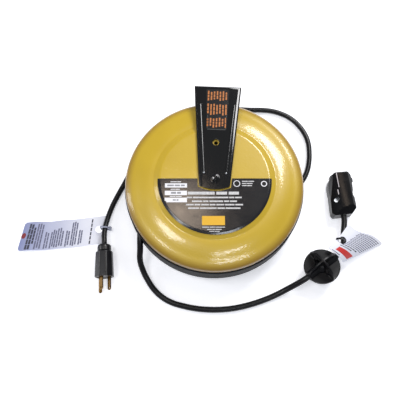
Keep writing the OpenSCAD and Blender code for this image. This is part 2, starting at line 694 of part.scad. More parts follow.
module rib(side) {
  r = (pow(rib_w / 2, 2) + pow(rib_h, 2)) / (2 * rib_h);
  a = [side * rib_low[0], rib_low[1], leg_top_z + rib_h - r];
  b = [side * rib_high[0], rib_high[1], leg_top_z + rib_h - r];
  run = norm(b - a);
  heading = atan2(b[1] - a[1], b[0] - a[0]);
  intersection() {
    translate(a) rotate([0, 0, heading]) {
      rotate([0, 90, 0]) cylinder(r = r, h = run, $fn = 48);
      sphere(r = r, $fn = 48);
      translate([run, 0, 0]) sphere(r = r, $fn = 48);
    }
    translate([-leg_top_w, 0, leg_top_z - 0.4]) cube([2 * leg_top_w, plate_y, rib_h + 1]);
  }
}
module bracket() {
  bend_in = plate_bend - bracket_t;
  color(black_paint) at_bracket() difference() {
    union() {
      translate([0, 0, leg_z]) linear_extrude(bracket_t) polygon(leg_outline());
      translate([-leg_top_w / 2, plate_y - bracket_t, plate_low])
        cube([leg_top_w, bracket_t, leg_top_z - plate_bend - plate_low]);
      intersection() {
        translate([-leg_top_w / 2, plate_y - plate_bend, leg_top_z - plate_bend]) rotate([0, 90, 0])
          tube(plate_bend, bend_in, leg_top_w);
        translate([-leg_top_w, plate_y - plate_bend, leg_top_z - plate_bend])
          cube([2 * leg_top_w, plate_bend + 1, plate_bend + 1]);
      }
      for (side = both) rib(side);
      translate([pip_pos[0], pip_pos[1], leg_top_z - 0.4]) cylinder(r = 1.6, h = 0.9);
    }
    translate([0, 0, leg_z - 1]) {
      cylinder(r = pivot_d / 2 + run_gap, h = bracket_t + 2);
      translate(lock_pos) cylinder(d = leg_lock_d, h = bracket_t + 2);
    }
    translate([0, plate_y + 1, plate_mid_z]) rotate([90, 0, 0]) ring_of(4, plate_pcd / 2, 45)
      cylinder(d = plate_hole_d, h = bracket_t + 2);
  }
}
module bracket_label() {
  low_y = lock_r + leg_lock_d / 2 + sticker_gap;
  high_y = plate_y - plate_bend - 1;
  corner = 2;
  low_x = sticker_low_w / 2 - corner;
  top_x = sticker_top_w / 2 - corner;
  color("#222325") at_bracket() translate([0, 0, leg_top_z + 0.02]) linear_extrude(label_t)
    polygon(concat(
      arc([-low_x, low_y + corner], corner, 180, 270, 3),
      arc([low_x, low_y + corner], corner, -90, 0, 3),
      arc([top_x, high_y - corner], corner, 0, 90, 3),
      arc([-top_x, high_y - corner], corner, 90, 180, 3)));
}
module bracket_washer() {
  color(pale_nylon) translate([0, 0, front_h]) tube(pivot_d / 2 + 4, pivot_d / 2 + run_gap, washer_t);
}
module bracket_bolt() {
  color(black_paint) translate([0, 0, leg_top_z + seat]) {
    cylinder(d1 = bolt_flange_d, d2 = bolt_flange_d - 2.4, h = 1.4);
    hex(bolt_af, 5);
    translate([0, 0, 1 - bolt_len]) cylinder(d = bolt_d, h = bolt_len);
  }
}

// ---------------------------------------------------------------- spool
rivet_r = hub_r - hub_wall / 2;
rivet_d = 4;
rivet_head_h = 1.6;
module rivet_holes() {
  ring_of(6, rivet_r, 15) translate([0, 0, spool_z - 1]) cylinder(d = rivet_d + 0.1, h = spool_w + 10);
}
module spool_hub() {
  color("#2b2c2f") difference() {
    union() {
      translate([0, 0, drum_z]) tube(hub_r, hub_in_r, spool_w);
      translate([0, 0, drum_z]) cylinder(r = hub_in_r + eps, h = hub_web);
      translate([0, 0, boss_z]) cylinder(r = boss_r, h = drum_z + hub_web - boss_z);
    }
    translate([0, 0, boss_z - 1]) cylinder(r = bush_r, h = spool_w);
    rivet_holes();
  }
}
module hub_cover() {
  z = drum_top - hub_web;
  color("#34353a") difference() {
    union() {
      translate([0, 0, z]) cylinder(r = hub_in_r - seat, h = hub_web);
      translate([0, 0, z]) cylinder(r = boss_r, h = front_boss_z - z);
    }
    translate([0, 0, z - 1]) cylinder(r = bush_r, h = spool_w);
  }
}
module spool_flange(z) {
  holes = 6;
  color(bright_steel) difference() {
    translate([0, 0, z]) tube(flange_r, boss_r + seat, flange_t);
    rivet_holes();
    translate([0, 0, z - 1]) ring_of(holes, (ratchet_r + flange_r) / 2) cylinder(r = 5, h = flange_t + 2);
  }
}
module rear_flange() {
  spool_flange(spool_z);
}
module front_flange() {
  spool_flange(drum_top);
}
module flange_rivets() {
  color(bright_steel) ring_of(6, rivet_r, 15) {
    translate([0, 0, spool_z]) cylinder(d = rivet_d, h = spool_top - spool_z);
    translate([0, 0, spool_z - rivet_head_h]) cylinder(d = rivet_d * 1.7, h = rivet_head_h);
    translate([0, 0, spool_top]) cylinder(d = rivet_d * 1.7, h = rivet_head_h);
  }
}
module bushing(z, h) {
  color("#a8763e") translate([0, 0, z]) tube(bush_r - 0.02, shaft_r + run_gap, h);
}
module rear_bushing() {
  bushing(boss_z, drum_z + hub_web - boss_z);
}
module front_bushing() {
  bushing(drum_top - hub_web, front_boss_z - drum_top + hub_web);
}
// Flat spiral, wound from the arbor out to the hub
module power_spring() {
  low = arbor_r + 1;
  high = hub_in_r - 1;
  steps = spring_turns * 20;
  spiral = [for (k = [0:steps]) let (a = 360 * spring_turns * k / steps, r = low + (high - low) * k / steps)
    r * [cos(a), sin(a)]];
  z = (drum_z + drum_top - spring_w) / 2;
  color(bright_steel) translate([0, 0, z]) linear_extrude(spring_w) polygon(wall(spiral, spring_t / 2));
}
module slip_ring_carrier() {
  color("#e3dccb") difference() {
    translate([0, 0, carrier_z]) tube(holder_r - 0.5, boss_r + 3, carrier_t);
    for (r = ring_radii) translate([0, 0, carrier_z - 1])
      tube(r + ring_w / 2 + 0.02, r - ring_w / 2 - 0.02, 1 + ring_t - ring_proud);
  }
}
module slip_rings() {
  color(brass) for (r = ring_radii) translate([0, 0, ring_z]) tube(r + ring_w / 2, r - ring_w / 2, ring_t);
}
module ratchet_ring() {
  color(bright_steel) translate([0, 0, spool_z - ratchet_t]) difference() {
    tube(ratchet_r, ratchet_r - 20, ratchet_t);
    for (i = [0:notches - 1]) rotate([0, 0, i * 360 / notches])
      translate([-notch_w / 2, ratchet_r - notch_depth, -1])
        cube([notch_w, notch_depth + 2, ratchet_t + 2]);
  }
}
module wound_cord() {
  color("#17181a") translate([0, 0, drum_z + soft_gap])
    tube(wound_r, hub_r + soft_gap, spool_w - 2 * soft_gap);
}

// ---------------------------------------------------------------- feeder cord and plug
module feeder_cord() {
  color("#17181a") cord(feeder_route, feeder_d, 8);
}
plug_back_w = plug_w * 0.9;
module plug_body() {
  body_x = plug_collar_len;
  color(black_plastic) at_plug() difference() {
    union() {
      rotate([0, 90, 0]) cylinder(d1 = plug_collar_d - 5, d2 = plug_collar_d, h = 2.5);
      translate([2.5, 0, 0]) rotate([0, 90, 0]) cylinder(d = plug_collar_d, h = body_x - 2.5);
      intersection() {
        translate([body_x, 0, 0]) rotate([0, 90, 0]) rotate([0, 0, 22.5])
          cylinder(d1 = plug_back_w / cos(22.5), d2 = plug_w / cos(22.5), h = plug_len, $fn = 8);
        translate([body_x, 0, 0]) rotate([0, 90, 0])
          cylinder(d1 = plug_back_w + 2, d2 = plug_w + 4, h = plug_len);
      }
    }
    translate([body_x + plug_len - 12, 0, plug_row]) for (side = both)
      translate([0, side * pin_gap - blade_t / 2, -blade_w / 2]) cube([13, blade_t, blade_w]);
    translate([body_x + plug_len - 12, 0, plug_row + ground_off]) rotate([0, 90, 0])
      cylinder(d = ground_d, h = 13);
  }
}
plug_front = plug_collar_len + plug_len;
module plug_blades() {
  tip = 2;
  color(brass) at_plug() for (side = both) translate([plug_front, side * pin_gap, plug_row])
    rotate([90, 0, 0]) translate([0, 0, -blade_t / 2]) linear_extrude(blade_t) difference() {
      polygon([[-11.5, -blade_w / 2 + 0.05], [blade_out - tip, -blade_w / 2 + 0.05],
        [blade_out, -blade_w / 2 + tip], [blade_out, blade_w / 2 - tip],
        [blade_out - tip, blade_w / 2 - 0.05], [-11.5, blade_w / 2 - 0.05]]);
      translate([blade_out - 3.2, 0]) circle(d = 3);
    }
}
module plug_ground_pin() {
  color(brass) at_plug() translate([plug_front - 11.5, 0, plug_row + ground_off]) rotate([0, 90, 0]) {
    cylinder(d = ground_d - 0.04, h = 11.5 + ground_out - 1.6);
    translate([0, 0, 11.5 + ground_out - 1.6]) cylinder(d1 = ground_d - 0.04, d2 = 2, h = 1.6);
  }
}

// Vinyl tag on the floor, wavy along its length
tag_left = -276;
tag_right = -151;
tag_low_y = -79.8;
tag_wide = 41.5;
tag_rise = 11;           // how far the cord end lies further back than the round end
tag_base = 1.5;
tag_waves = 3;
feeder_hole = [-162.7, -48.3];
feeder_hole_d = 10.4;
module feeder_tag() {
  cols = 24;
  rows = 3;
  grid = [for (j = [0:rows]) [for (i = [0:cols])
    let (u = i / cols, v = j / rows, slant = 8 * v * (1 - u))
    [tag_left + slant + (tag_right - tag_left - slant - 4 * (1 - v)) * u,
     tag_low_y + tag_rise * pow(u, 1.8) + tag_wide * v,
     tag_base + 2 * (1 - u) * (1 - cos(360 * tag_waves * (1 - u)))]]];
  color(white_vinyl) difference() {
    vinyl(grid, tag_t);
    translate([feeder_hole[0], feeder_hole[1], -1]) cylinder(d = feeder_hole_d, h = 12);
  }
}
// Cable tie: a band round the cord and through the tag's hole, with its head at height head_z
module tie(width, height, band, head_z) {
  thick = 0.8;
  corner = min(width, height) * 0.3;
  rotate([90, 0, 0]) translate([0, 0, -band / 2]) linear_extrude(band) difference() {
    loop2d(width, height, corner);
    loop2d(width - 2 * thick, height - 2 * thick, corner - thick);
  }
  translate([width / 2 - 0.5, -2.6, head_z]) cube([3.4, 5.2, 4.6]);
}
module loop2d(w, h, corner) {
  square([w, h - 2 * corner], center = true);
  square([w - 2 * corner, h], center = true);
  for (sx = both, sy = both)
    translate([sx * (w / 2 - corner), sy * (h / 2 - corner)]) circle(r = corner, $fn = 48);
}
feeder_tie_pos = [-153.6, -48.2, 7.4];
module feeder_tag_tie() {
  color(pale_nylon) translate(feeder_tie_pos) rotate([0, 0, -3]) tie(12.6, 14.4, 2.2, -3);
}

// ---------------------------------------------------------------- outlet cord, ball and tag
module outlet_cord() {
  color("#17181a") cord(outlet_route, outlet_d, 8);
}
ball_split = 0.15;
// Half of the ball: solid core, equator band and crossed ribs between the pockets
module ball_half(side) {
  difference() {
    intersection() {
      union() {
        sphere(r = ball_r - ball_pocket);
        intersection() {
          sphere(r = ball_r);
          union() {
            translate([-ball_r, -ball_r, -ball_rib * 1.4]) cube([2 * ball_r, 2 * ball_r, ball_rib * 2.8]);
            translate([-ball_r, -ball_rib / 2, -ball_r]) cube([2 * ball_r, ball_rib, 2 * ball_r]);
            translate([-ball_rib / 2, -ball_r, -ball_r]) cube([ball_rib, 2 * ball_r, 2 * ball_r]);
            for (end = both) translate([end * (ball_r - 3), 0, 0]) rotate([0, 90, 0])
              cylinder(d = outlet_d + 7, h = 8, center = true);
          }
        }
      }
      translate([-2 * ball_r, -2 * ball_r, side > 0 ? ball_split : -ball_split - 4 * ball_r])
        cube([4 * ball_r, 4 * ball_r, 4 * ball_r]);
    }
    translate([-2 * ball_r, 0, 0]) rotate([0, 90, 0]) cylinder(d = outlet_d + 0.3, h = 4 * ball_r);
    for (y = both) translate([0, y * ball_screw_y, 0]) {
      translate([0, 0, -ball_screw_len - 1]) cylinder(d = ball_screw_d + 0.2, h = 2 * ball_screw_len);
      translate([0, 0, -ball_r - 1]) cylinder(d = ball_head_d + 0.4, h = ball_r + 1 - ball_screw_len);
    }
  }
}
ball_screw_y = 12;
ball_screw_len = 10;
ball_screw_d = 4;
ball_head_d = 7;
module stop_ball_upper() {
  color(black_plastic) at_ball() ball_half(1);
}
module stop_ball_lower() {
  color(black_plastic) at_ball() ball_half(-1);
}
module stop_ball_screws() {
  color(bright_steel) at_ball() for (y = both) translate([0, y * ball_screw_y, 0]) difference() {
    union() {
      translate([0, 0, -ball_screw_len - 0.1]) cylinder(d = ball_screw_d, h = 2 * ball_screw_len - 1.4);
      translate([0, 0, -ball_screw_len - 3]) cylinder(d = ball_head_d, h = 2.9);
    }
    translate([0, 0, -ball_screw_len - 3 - eps]) hex(3, 1.6);
  }
}

// Vinyl tag lying over the cord beside the ball, and down to the floor
tag_a = [186.4, -46.4, 24.5];
tag_m = [166.2, -74.5, 27.3];
tag_b = [152.3, -82.8, 33.2];
tag_c = [175.8, -99.4, 16];
tag_d = [238.1, -69.8, 1];
outlet_hole = [175.1, -71];
outlet_hole_d = 10.8;
module outlet_tag() {
  n = 10;
  rows = 7;
  edge = bend(tag_b, tag_m, tag_a, rows);
  grid = [for (j = [0:rows]) [for (i = [0:n])
    let (u = i / n, v = j / rows, near = edge[j], far = tag_c + (tag_d - tag_c) * v,
      flat = near + (far - near) * u, swell = 3 * v * sin(180 * u),
      droop = 66 * pow(v, 3) * u * pow(1 - u, 3))
    [flat[0] + 0.3 * swell, flat[1] + 0.95 * swell - droop,
     near[2] + (far[2] - near[2]) * pow(u, 3 - v)]]];
  color(white_vinyl) difference() {
    vinyl(grid, tag_t);
    translate([outlet_hole[0], outlet_hole[1], 0]) cylinder(d = outlet_hole_d, h = 60);
  }
}
outlet_tie_pos = [177.6, -72.6, 20.2];
module outlet_tag_tie() {
  color(black_plastic) translate(outlet_tie_pos) rotate([0, 0, -12.9]) rotate([-8, 0, 0])
    rotate([0, -38, 0]) translate([0, 0, 4.4]) tie(11.4, 19.5, 2.6, -9);
}

// ---------------------------------------------------------------- outlet body
outlet_plan = [[-13, 0], [11, 0], [16.4, 6], [16.8, 9.5], [16.8, 22], [15, 25], [15, 29], [16.6, 33],
  [17.6, outlet_len - 16], [19.6, outlet_len - 15], [19.6, outlet_len - 10], [17.8, outlet_len - 9],
  [17.6, outlet_len - 5], [12.5, outlet_len],
  [-5.5, outlet_len], [-9.9, outlet_len - 4.7], [-13.8, outlet_len - 12], [-14.6, outlet_len - 18],
  [-14.6, 30], [-16.2, 12], [-16.6, 4]];
outlet_dip = 1.6;        // fall of the top from its right edge to the ridge
outlet_section = [[-13, 0], [14, 0], [20, 5], [20, outlet_h - 6], [13, outlet_h],
  [-2.5, outlet_h - outlet_dip], [-16.6, outlet_h - 11], [-16.6, 5]];
facet_x = -7.7;          // flat cut across the far left side: its place and its two leans
facet_turn = 10;
facet_lean = 20;
outlet_side = [[0, 3], [5, 0], [outlet_len - 2, 0], [outlet_len, 2], [outlet_len, outlet_h - 2],
  [outlet_len - 2, outlet_h], [11, outlet_h], [0, outlet_h - 9]];
split_h = outlet_h / 2;
// The whole outlet body: section, plan and side outlines cut from one block, less its facet
module outlet_block() {
  translate([0, 0, -outlet_pos[2]]) difference() {
    intersection() {
      linear_extrude(outlet_h) polygon(outlet_plan);
      translate([0, outlet_len, 0]) rotate([90, 0, 0]) linear_extrude(outlet_len) polygon(outlet_section);
      translate([-25, 0, 0]) rotate([90, 0, 90]) linear_extrude(50) polygon(outlet_side);
    }
    translate([facet_x, outlet_len - 4, outlet_h - 6])
      rotate([0, 0, -facet_turn]) rotate([0, facet_lean, 0])
        translate([-outlet_len, -outlet_len, -outlet_len])
          cube([outlet_len, 2 * outlet_len, 2 * outlet_len]);
  }
}
face_left = 8.5;
face_right = 10.5;
face_h = 11;             // half the height of the face
face_t = 4;
face_section = [[-face_left, -face_h], [face_right, -face_h], [face_right, face_h], [-3, face_h],
  [-4.5, face_h - 1.5], [-face_left, 0.5]];
face_play = 1.012;       // growth of the face's seat over the face
cavity_left = face_left + 0.3;
cavity_right = face_right + 1;
cavity_h = blade_row + ground_off + ground_d / 2 + 1;
cavity_section = [[-cavity_left, -cavity_h], [cavity_right, -cavity_h], [cavity_right, cavity_h - 3],
  [cavity_right - 3, cavity_h], [-2.6, cavity_h], [-4, cavity_h - 2.3], [-cavity_left, 0]];
cavity_y = 16;
// Screws that hold the halves together: place, side of the head and height of its underside
screw_spots = [[-8, 21.4, 1, split_h - 10], [8, 24, -1, split_h - 6.5]];
module outlet_half(side) {
  reach = outlet_len;
  low = side > 0 ? seat : -reach;
  difference() {
    intersection() {
      outlet_block();
      translate([-reach, -reach, low]) cube([2 * reach, 3 * reach, reach - seat]);
    }
    translate([0, outlet_len + 1, 0]) rotate([90, 0, 0]) linear_extrude(face_t + 1.1)
      polygon([for (p = face_section) face_play * p]);
    difference() {
      translate([0, outlet_len - face_t, 0]) rotate([90, 0, 0])
        linear_extrude(outlet_len - face_t - cavity_y) polygon(cavity_section);
      for (s = screw_spots) translate([s[0], s[1], -split_h]) cylinder(d = case_head_d + 3, h = outlet_h);
    }
    translate([0, -1, 0]) rotate([-90, 0, 0]) cylinder(d = grip_d + 0.1, h = cavity_y + 2);
    for (s = screw_spots) translate([s[0], s[1], 0]) {
      translate([0, 0, -10]) cylinder(d = case_screw_d + 0.1, h = 20);
      translate([0, 0, s[2] > 0 ? s[3] : -reach]) cylinder(d = case_head_d + 0.4, h = reach - s[3]);
    }
  }
}
grip_d = 13;
case_screw_d = 3.5;
case_head_d = 6.4;
module outlet_body_upper() {
  color(black_plastic) at_outlet() outlet_half(1);
}
module outlet_body_lower() {
  color(black_plastic) at_outlet() outlet_half(-1);
}
module outlet_face() {
  color("#2c2d30") at_outlet() difference() {
    translate([0, outlet_len - 0.2, 0]) rotate([90, 0, 0]) linear_extrude(face_t - 0.2)
      polygon(face_section);
    for (side = both) translate([side * pin_gap - 1, outlet_len - face_t - 1, blade_row - 3.6])
      cube([2, face_t + 2, side > 0 ? 7.2 : 8.6]);
    translate([0, outlet_len + 1, blade_row + ground_off]) rotate([90, 0, 0])
      cylinder(d = ground_d + 0.4, h = face_t + 2);
  }
}
// Three sprung contacts behind the face
module outlet_contacts() {
  depth = 15;
  y = outlet_len - face_t - depth;
  color(brass) at_outlet() {
    for (side = both, leaf = both)
      translate([side * pin_gap + leaf * 1.6 - 0.4, y, blade_row - contact_w / 2])
        cube([0.8, depth, contact_w]);
    for (side = both) translate([side * pin_gap - 2, y - 0.8, blade_row - contact_w / 2])
      cube([4, 0.85, contact_w]);
    translate([0, y, blade_row + ground_off]) rotate([-90, 0, 0])
      tube(ground_d / 2 + 0.8, ground_d / 2 + 0.15, depth);
    for (side = both) translate([side * pin_gap - 1, 30, blade_row - 1]) cube([2, y - 30.5, 2]);
  }
}
// Rubber grip that holds the cord's end in the body
module outlet_cord_grip() {
  color("#1a1a1c") at_outlet() rotate([-90, 0, 0]) translate([0, 0, 0.02]) cylinder(d = grip_d, h = 15.9);
}
module outlet_screws() {
  color(bright_steel) at_outlet() for (s = screw_spots) translate([s[0], s[1], 0])
    rotate([s[2] > 0 ? 0 : 180, 0, 0]) difference() {
      union() {
        translate([0, 0, s[3]]) cylinder(d = case_head_d, h = 2.2);
        translate([0, 0, -8]) cylinder(d = case_screw_d, h = s[3] + 8.1);
      }
      for (a = [0, 90]) rotate([0, 0, a]) translate([-1.8, -0.4, s[3] + 1.2]) cube([3.6, 0.8, 2]);
    }
}

front_cover();
rear_cover();
main_label();
main_shaft();
shaft_screws();
retaining_collar();
thrust_washer();
spring_arbor();
cord_guide();
brush_holder();
brushes();
brush_springs();
terminal_leads();
terminal_block();
terminal_screws();
terminal_cover();
terminal_cover_screws();
pawl_pin();
pawl();
pawl_spring();
bracket();
bracket_label();
bracket_washer();
bracket_bolt();
spool_hub();
hub_cover();
rear_flange();
front_flange();
flange_rivets();
rear_bushing();
front_bushing();
power_spring();
slip_ring_carrier();
slip_rings();
ratchet_ring();
wound_cord();
feeder_strain_relief();
feeder_cord();
plug_body();
plug_blades();
plug_ground_pin();
feeder_tag();
feeder_tag_tie();
outlet_cord();
stop_ball_upper();
stop_ball_lower();
stop_ball_screws();
outlet_tag();
outlet_tag_tie();
outlet_body_upper();
outlet_body_lower();
outlet_face();
outlet_contacts();
outlet_cord_grip();
outlet_screws();
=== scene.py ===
"""Finish of a retractable extension cord reel: covers, label, bracket, cords, plug, outlet and tags."""
import json
import math

import bmesh
import bpy
from mathutils import Matrix, Vector


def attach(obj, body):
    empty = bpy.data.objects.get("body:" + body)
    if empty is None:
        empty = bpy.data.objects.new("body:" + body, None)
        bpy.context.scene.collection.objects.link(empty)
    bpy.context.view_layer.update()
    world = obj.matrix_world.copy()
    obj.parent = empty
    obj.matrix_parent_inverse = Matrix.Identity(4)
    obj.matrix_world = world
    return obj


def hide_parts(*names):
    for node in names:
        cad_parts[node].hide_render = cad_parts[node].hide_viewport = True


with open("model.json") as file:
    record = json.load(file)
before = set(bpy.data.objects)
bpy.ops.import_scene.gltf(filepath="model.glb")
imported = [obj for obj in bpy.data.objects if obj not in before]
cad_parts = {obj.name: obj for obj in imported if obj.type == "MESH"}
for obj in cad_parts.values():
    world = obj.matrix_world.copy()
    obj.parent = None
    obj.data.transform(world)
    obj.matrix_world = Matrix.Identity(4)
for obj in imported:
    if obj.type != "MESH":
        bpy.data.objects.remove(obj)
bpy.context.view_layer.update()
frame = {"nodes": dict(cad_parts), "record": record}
scene = bpy.context.scene
MM = 0.001

# ------------------------------------------------------------------ camera and lights
FRONT_H = 76.0          # flat face of the lid above the floor
LENS_PX, FRAME_PX = 568, 400        # focal length in pixels of a frame that is 400 wide
SENSOR_MM = 36
CAMERA_AT = (-0.0194, -0.2635, 0.7806)
CAMERA_DIP = 71.6       # degrees that the camera looks down


def set_camera():
    """Camera over the near side of the reel, looking down on the lid."""
    eye = bpy.data.cameras.new("studio_camera")
    eye.sensor_width = SENSOR_MM
    eye.lens = LENS_PX / FRAME_PX * SENSOR_MM
    eye.clip_start, eye.clip_end = 0.01, 50
    camera = bpy.data.objects.new("studio_camera", eye)
    camera.location = CAMERA_AT
    camera.rotation_euler = (math.radians(90 - CAMERA_DIP), 0, 0)
    scene.collection.objects.link(camera)
    scene.camera = camera


def softbox(name, towards, distance, width, depth, power, tint=(1, 1, 1)):
    """Rectangular light that hangs at a distance in one direction and faces the lid."""
    target = Vector((0, 0, FRONT_H * MM))
    place = target + Vector(towards).normalized() * distance
    light = bpy.data.lights.new(name, "AREA")
    light.shape = "RECTANGLE"
    light.size, light.size_y = width, depth
    light.energy = power
    light.color = tint
    lamp = bpy.data.objects.new(name, light)
    lamp.location = place
    lamp.rotation_euler = (target - place).to_track_quat("-Z", "Y").to_euler()
    scene.collection.objects.link(lamp)


def set_lights():
    """A big box behind gives the wide glow on the lid's right, and smaller ones the streaks on its roll."""
    softbox("rear_right_softbox", (0.41, 0.56, 0.72), 1.3, 0.54, 0.5, 12.5)
    softbox("overhead_left_softbox", (-0.36, -0.10, 0.93), 1.4, 0.36, 0.34, 4.6)
    softbox("front_strip", (0.17, -0.38, 0.90), 1.5, 0.5, 0.1, 2.2, (0.88, 0.93, 1))
    softbox("left_strip", (-0.92, 0.12, 0.42), 1.2, 0.2, 0.6, 2.2)
    softbox("warm_panel", (-0.066, 0.268, 0.961), 1.4, 0.19, 0.15, 0.75, (1, 0.8, 0.63))
    world = bpy.data.worlds.new("studio_room")
    world.use_nodes = True
    room = world.node_tree.nodes["Background"].inputs
    room["Color"].default_value = (0.9, 0.92, 1.0, 1)
    room["Strength"].default_value = 0.27
    scene.world = world
    scene.view_settings.view_transform = "Standard"


# ------------------------------------------------------------------ cords
FEEDER_D = 7.6
OUTLET_D = 8.2
PLUG_AT, PLUG_TURN, PLUG_ROLL = Vector((-152.2, -73, 13)), -87, 137
BALL_AT, BALL_TURN, BALL_ROLL, BALL_R = Vector((145.2, -106.7, 24.5)), 36, -10, 24.5
OUTLET_AT, OUTLET_TURN = Vector((182.8, -32, 15)), 6
END_RUN = 4             # straight run of a cord into its plug or outlet
BALL_RUN = BALL_R + 0.5


def heading(turn):
    """Level direction at a turn from +X in degrees."""
    return Vector((math.cos(math.radians(turn)), math.sin(math.radians(turn)), 0))


through_ball = heading(BALL_TURN)
into_plug = heading(PLUG_TURN)
into_outlet = heading(OUTLET_TURN + 90)

feeder_route = [
    (72, 0, 7.2), (76, 0, 7.2), (86, 0.3, 6.6), (97, 2, 5.4), (110, 7, 4.3), (121, 15, 4), (130, 25, 4),
    (137, 38, 4), (141, 53, 4), (142.5, 70, 4), (141.5, 86, 4), (137, 100, 4), (129, 113, 4),
    (118.5, 124, 4), (105, 132, 4), (90, 137, 4), (74, 138.8, 4), (57, 139, 4), (40, 140, 4),
    (22, 140.5, 4), (4, 139.5, 4), (-14, 137, 4), (-32, 132, 4), (-50, 124.5, 4), (-67, 114, 4),
    (-82, 101, 4), (-95, 86, 4), (-106, 69, 4), (-115, 51, 4), (-122.5, 34, 4), (-130, 18, 4),
    (-138, 1.5, 4), (-143.8, -11.5, 4.2), (-148, -24, 5), (-151, -36, 6.8), (-153, -48, 9),
    (-153.2, -60, 11.7), PLUG_AT - END_RUN * into_plug, PLUG_AT]
outlet_route = [
    (-103, -6, 43), (-102, -24, 40.5), (-100.8, -40, 38.3), (-100.3, -55, 38), (-100.3, -70, 37.7),
    (-100.2, -84, 32), (-100.8, -97, 23.5), (-97.5, -109, 15), (-91.5, -121, 9.5), (-83, -133.5, 6),
    (-72, -144, 4.6), (-58, -152, 4.3), (-42, -156.8, 4.3), (-26, -160, 4.3), (-9, -161.6, 4.3),
    (8, -161.6, 4.3), (25, -160, 4.3), (42, -156.6, 4.3), (58, -152, 4.3), (73, -146.6, 4.5),
    (87, -140.6, 6.3), (99.5, -134.6, 10.5), (110, -129.6, 16.5), (118, -125.6, 21.6),
    BALL_AT - BALL_RUN * through_ball, BALL_AT, BALL_AT + BALL_RUN * through_ball,
    (170.3, -87.9, 24.2), (174.3, -82.8, 23.1), (177, -77, 21.5), (178.6, -70, 19.5),
    (180.3, -57, 16.5), (182.3, -46, 15.3), OUTLET_AT - END_RUN * into_outlet, OUTLET_AT]


def lay_cord(name, route, width):
    """Round cord as one smooth curve through its route."""
    line = bpy.data.curves.new(name, "CURVE")
    line.dimensions = "3D"
    line.bevel_depth = width / 2 * MM
    line.bevel_resolution = 6
    line.resolution_u = 5
    line.use_fill_caps = True
    spline = line.splines.new("BEZIER")
    spline.bezier_points.add(len(route) - 1)
    for point, place in zip(spline.bezier_points, route):
        point.co = Vector(place) * MM
        point.handle_left_type = point.handle_right_type = "AUTO"
    cord = bpy.data.objects.new(name, line)
    scene.collection.objects.link(cord)
    return cord


# ------------------------------------------------------------------ ways of working
def settle():
    """Leave edit mode and let go of every object."""
    if bpy.context.object and bpy.context.object.mode != "OBJECT":
        bpy.ops.object.mode_set(mode="OBJECT")
    bpy.ops.object.select_all(action="DESELECT")


def hold(*pieces):
    """Select these pieces alone, the last of them active."""
    settle()
    for piece in pieces:
        piece.select_set(True)
    bpy.context.view_layer.objects.active = pieces[-1]


def open_mesh(piece):
    """Start work on a piece's mesh, with all of it selected."""
    hold(piece)
    bpy.ops.object.mode_set(mode="EDIT")
    take_all()


def take_all():
    """Select the whole of the mesh that is being worked on."""
    bpy.ops.mesh.select_all(action="SELECT")


def pull(way):
    """Extrude what is selected along a way (mm)."""
    bpy.ops.mesh.extrude_region_move(TRANSFORM_OT_translate={"value": Vector(way) * MM})


def close_up(gap):
    """Merge what lies on the same spot, and point every face outwards."""
    take_all()
    bpy.ops.mesh.remove_doubles(threshold=gap)
    bpy.ops.mesh.normals_make_consistent(inside=False)


def mark(piece, what, test):
    """Select, in edit mode, the faces, edges or verts whose place and direction pass the test (mm)."""
    mode = {"faces": "FACE", "edges": "EDGE", "verts": "VERT"}[what]
    bpy.ops.mesh.select_mode(type=mode)
    bpy.ops.mesh.select_all(action="DESELECT")
    mesh = bmesh.from_edit_mesh(piece.data)
    for part in getattr(mesh, what):
        if what == "faces":
            part.select_set(bool(test(part.calc_center_median() / MM, part.normal)))
        elif what == "edges":
            a, b = part.verts[0].co, part.verts[1].co
            part.select_set(bool(test((a + b) / 2 / MM, (b - a).normalized())))
        else:
            part.select_set(bool(test(part.co / MM, None)))
    bmesh.update_edit_mesh(piece.data)


def draw(name, points, closed=False):
    """Line of edges through the points (mm), extruded from a single vertex; a closed one is filled."""
    settle()
    bpy.context.tool_settings.mesh_select_mode = (True, False, False)
    bpy.ops.mesh.primitive_plane_add(size=MM)
    piece = bpy.context.object
    piece.name = name
    open_mesh(piece)
    bpy.ops.mesh.merge(type="CENTER")
    points = [Vector(p) for p in points]
    bpy.ops.transform.translate(value=points[0] * MM)
    if closed:
        points.append(points[0])
    for a, b in zip(points, points[1:]):
        pull(b - a)
    take_all()
    bpy.ops.mesh.remove_doubles(threshold=1e-7)
    if closed:
        take_all()
        bpy.ops.mesh.edge_face_add()
    return piece


def lathe(name, profile, steps=192):
    """Profile of (radius, height) pairs spun round the Z axis."""
    piece = draw(name, [(r, 0, z) for r, z in profile])
    take_all()
    bpy.ops.mesh.spin(steps=steps, angle=2 * math.pi, center=(0, 0, 0), axis=(0, 0, 1))
    close_up(1e-6)
    settle()
    return piece


def slab(name, outline, low, high):
    """Flat plate of the outline (mm) between two heights."""
    piece = draw(name, [(x, y, low) for x, y in outline], closed=True)
    take_all()
    pull((0, 0, high - low))
    close_up(1e-7)
    settle()
    return piece


def rod(x, y, low, high, width, sides=64, turn=0):
    """Round cutter or peg that stands upright (mm), or a prism with few sides and a turn in degrees."""
    settle()
    bpy.ops.mesh.primitive_cylinder_add(
        vertices=sides, radius=width / 2 * MM, depth=(high - low) * MM,
        location=(x * MM, y * MM, (low + high) / 2 * MM), rotation=(0, 0, math.radians(turn)))
    return bpy.context.object


def across_corners(across_flats, sides):
    """Width over the corners of a prism, from its width over the flats."""
    return across_flats / math.cos(math.pi / sides)


def sphere(name, radius, segments, at=(0, 0, 0)):
    """Sphere with half as many rings as segments (mm)."""
    settle()
    bpy.ops.mesh.primitive_uv_sphere_add(segments=segments, ring_count=segments // 2, radius=radius * MM,
                                         location=Vector(at) * MM)
    bpy.context.object.name = name
    return bpy.context.object


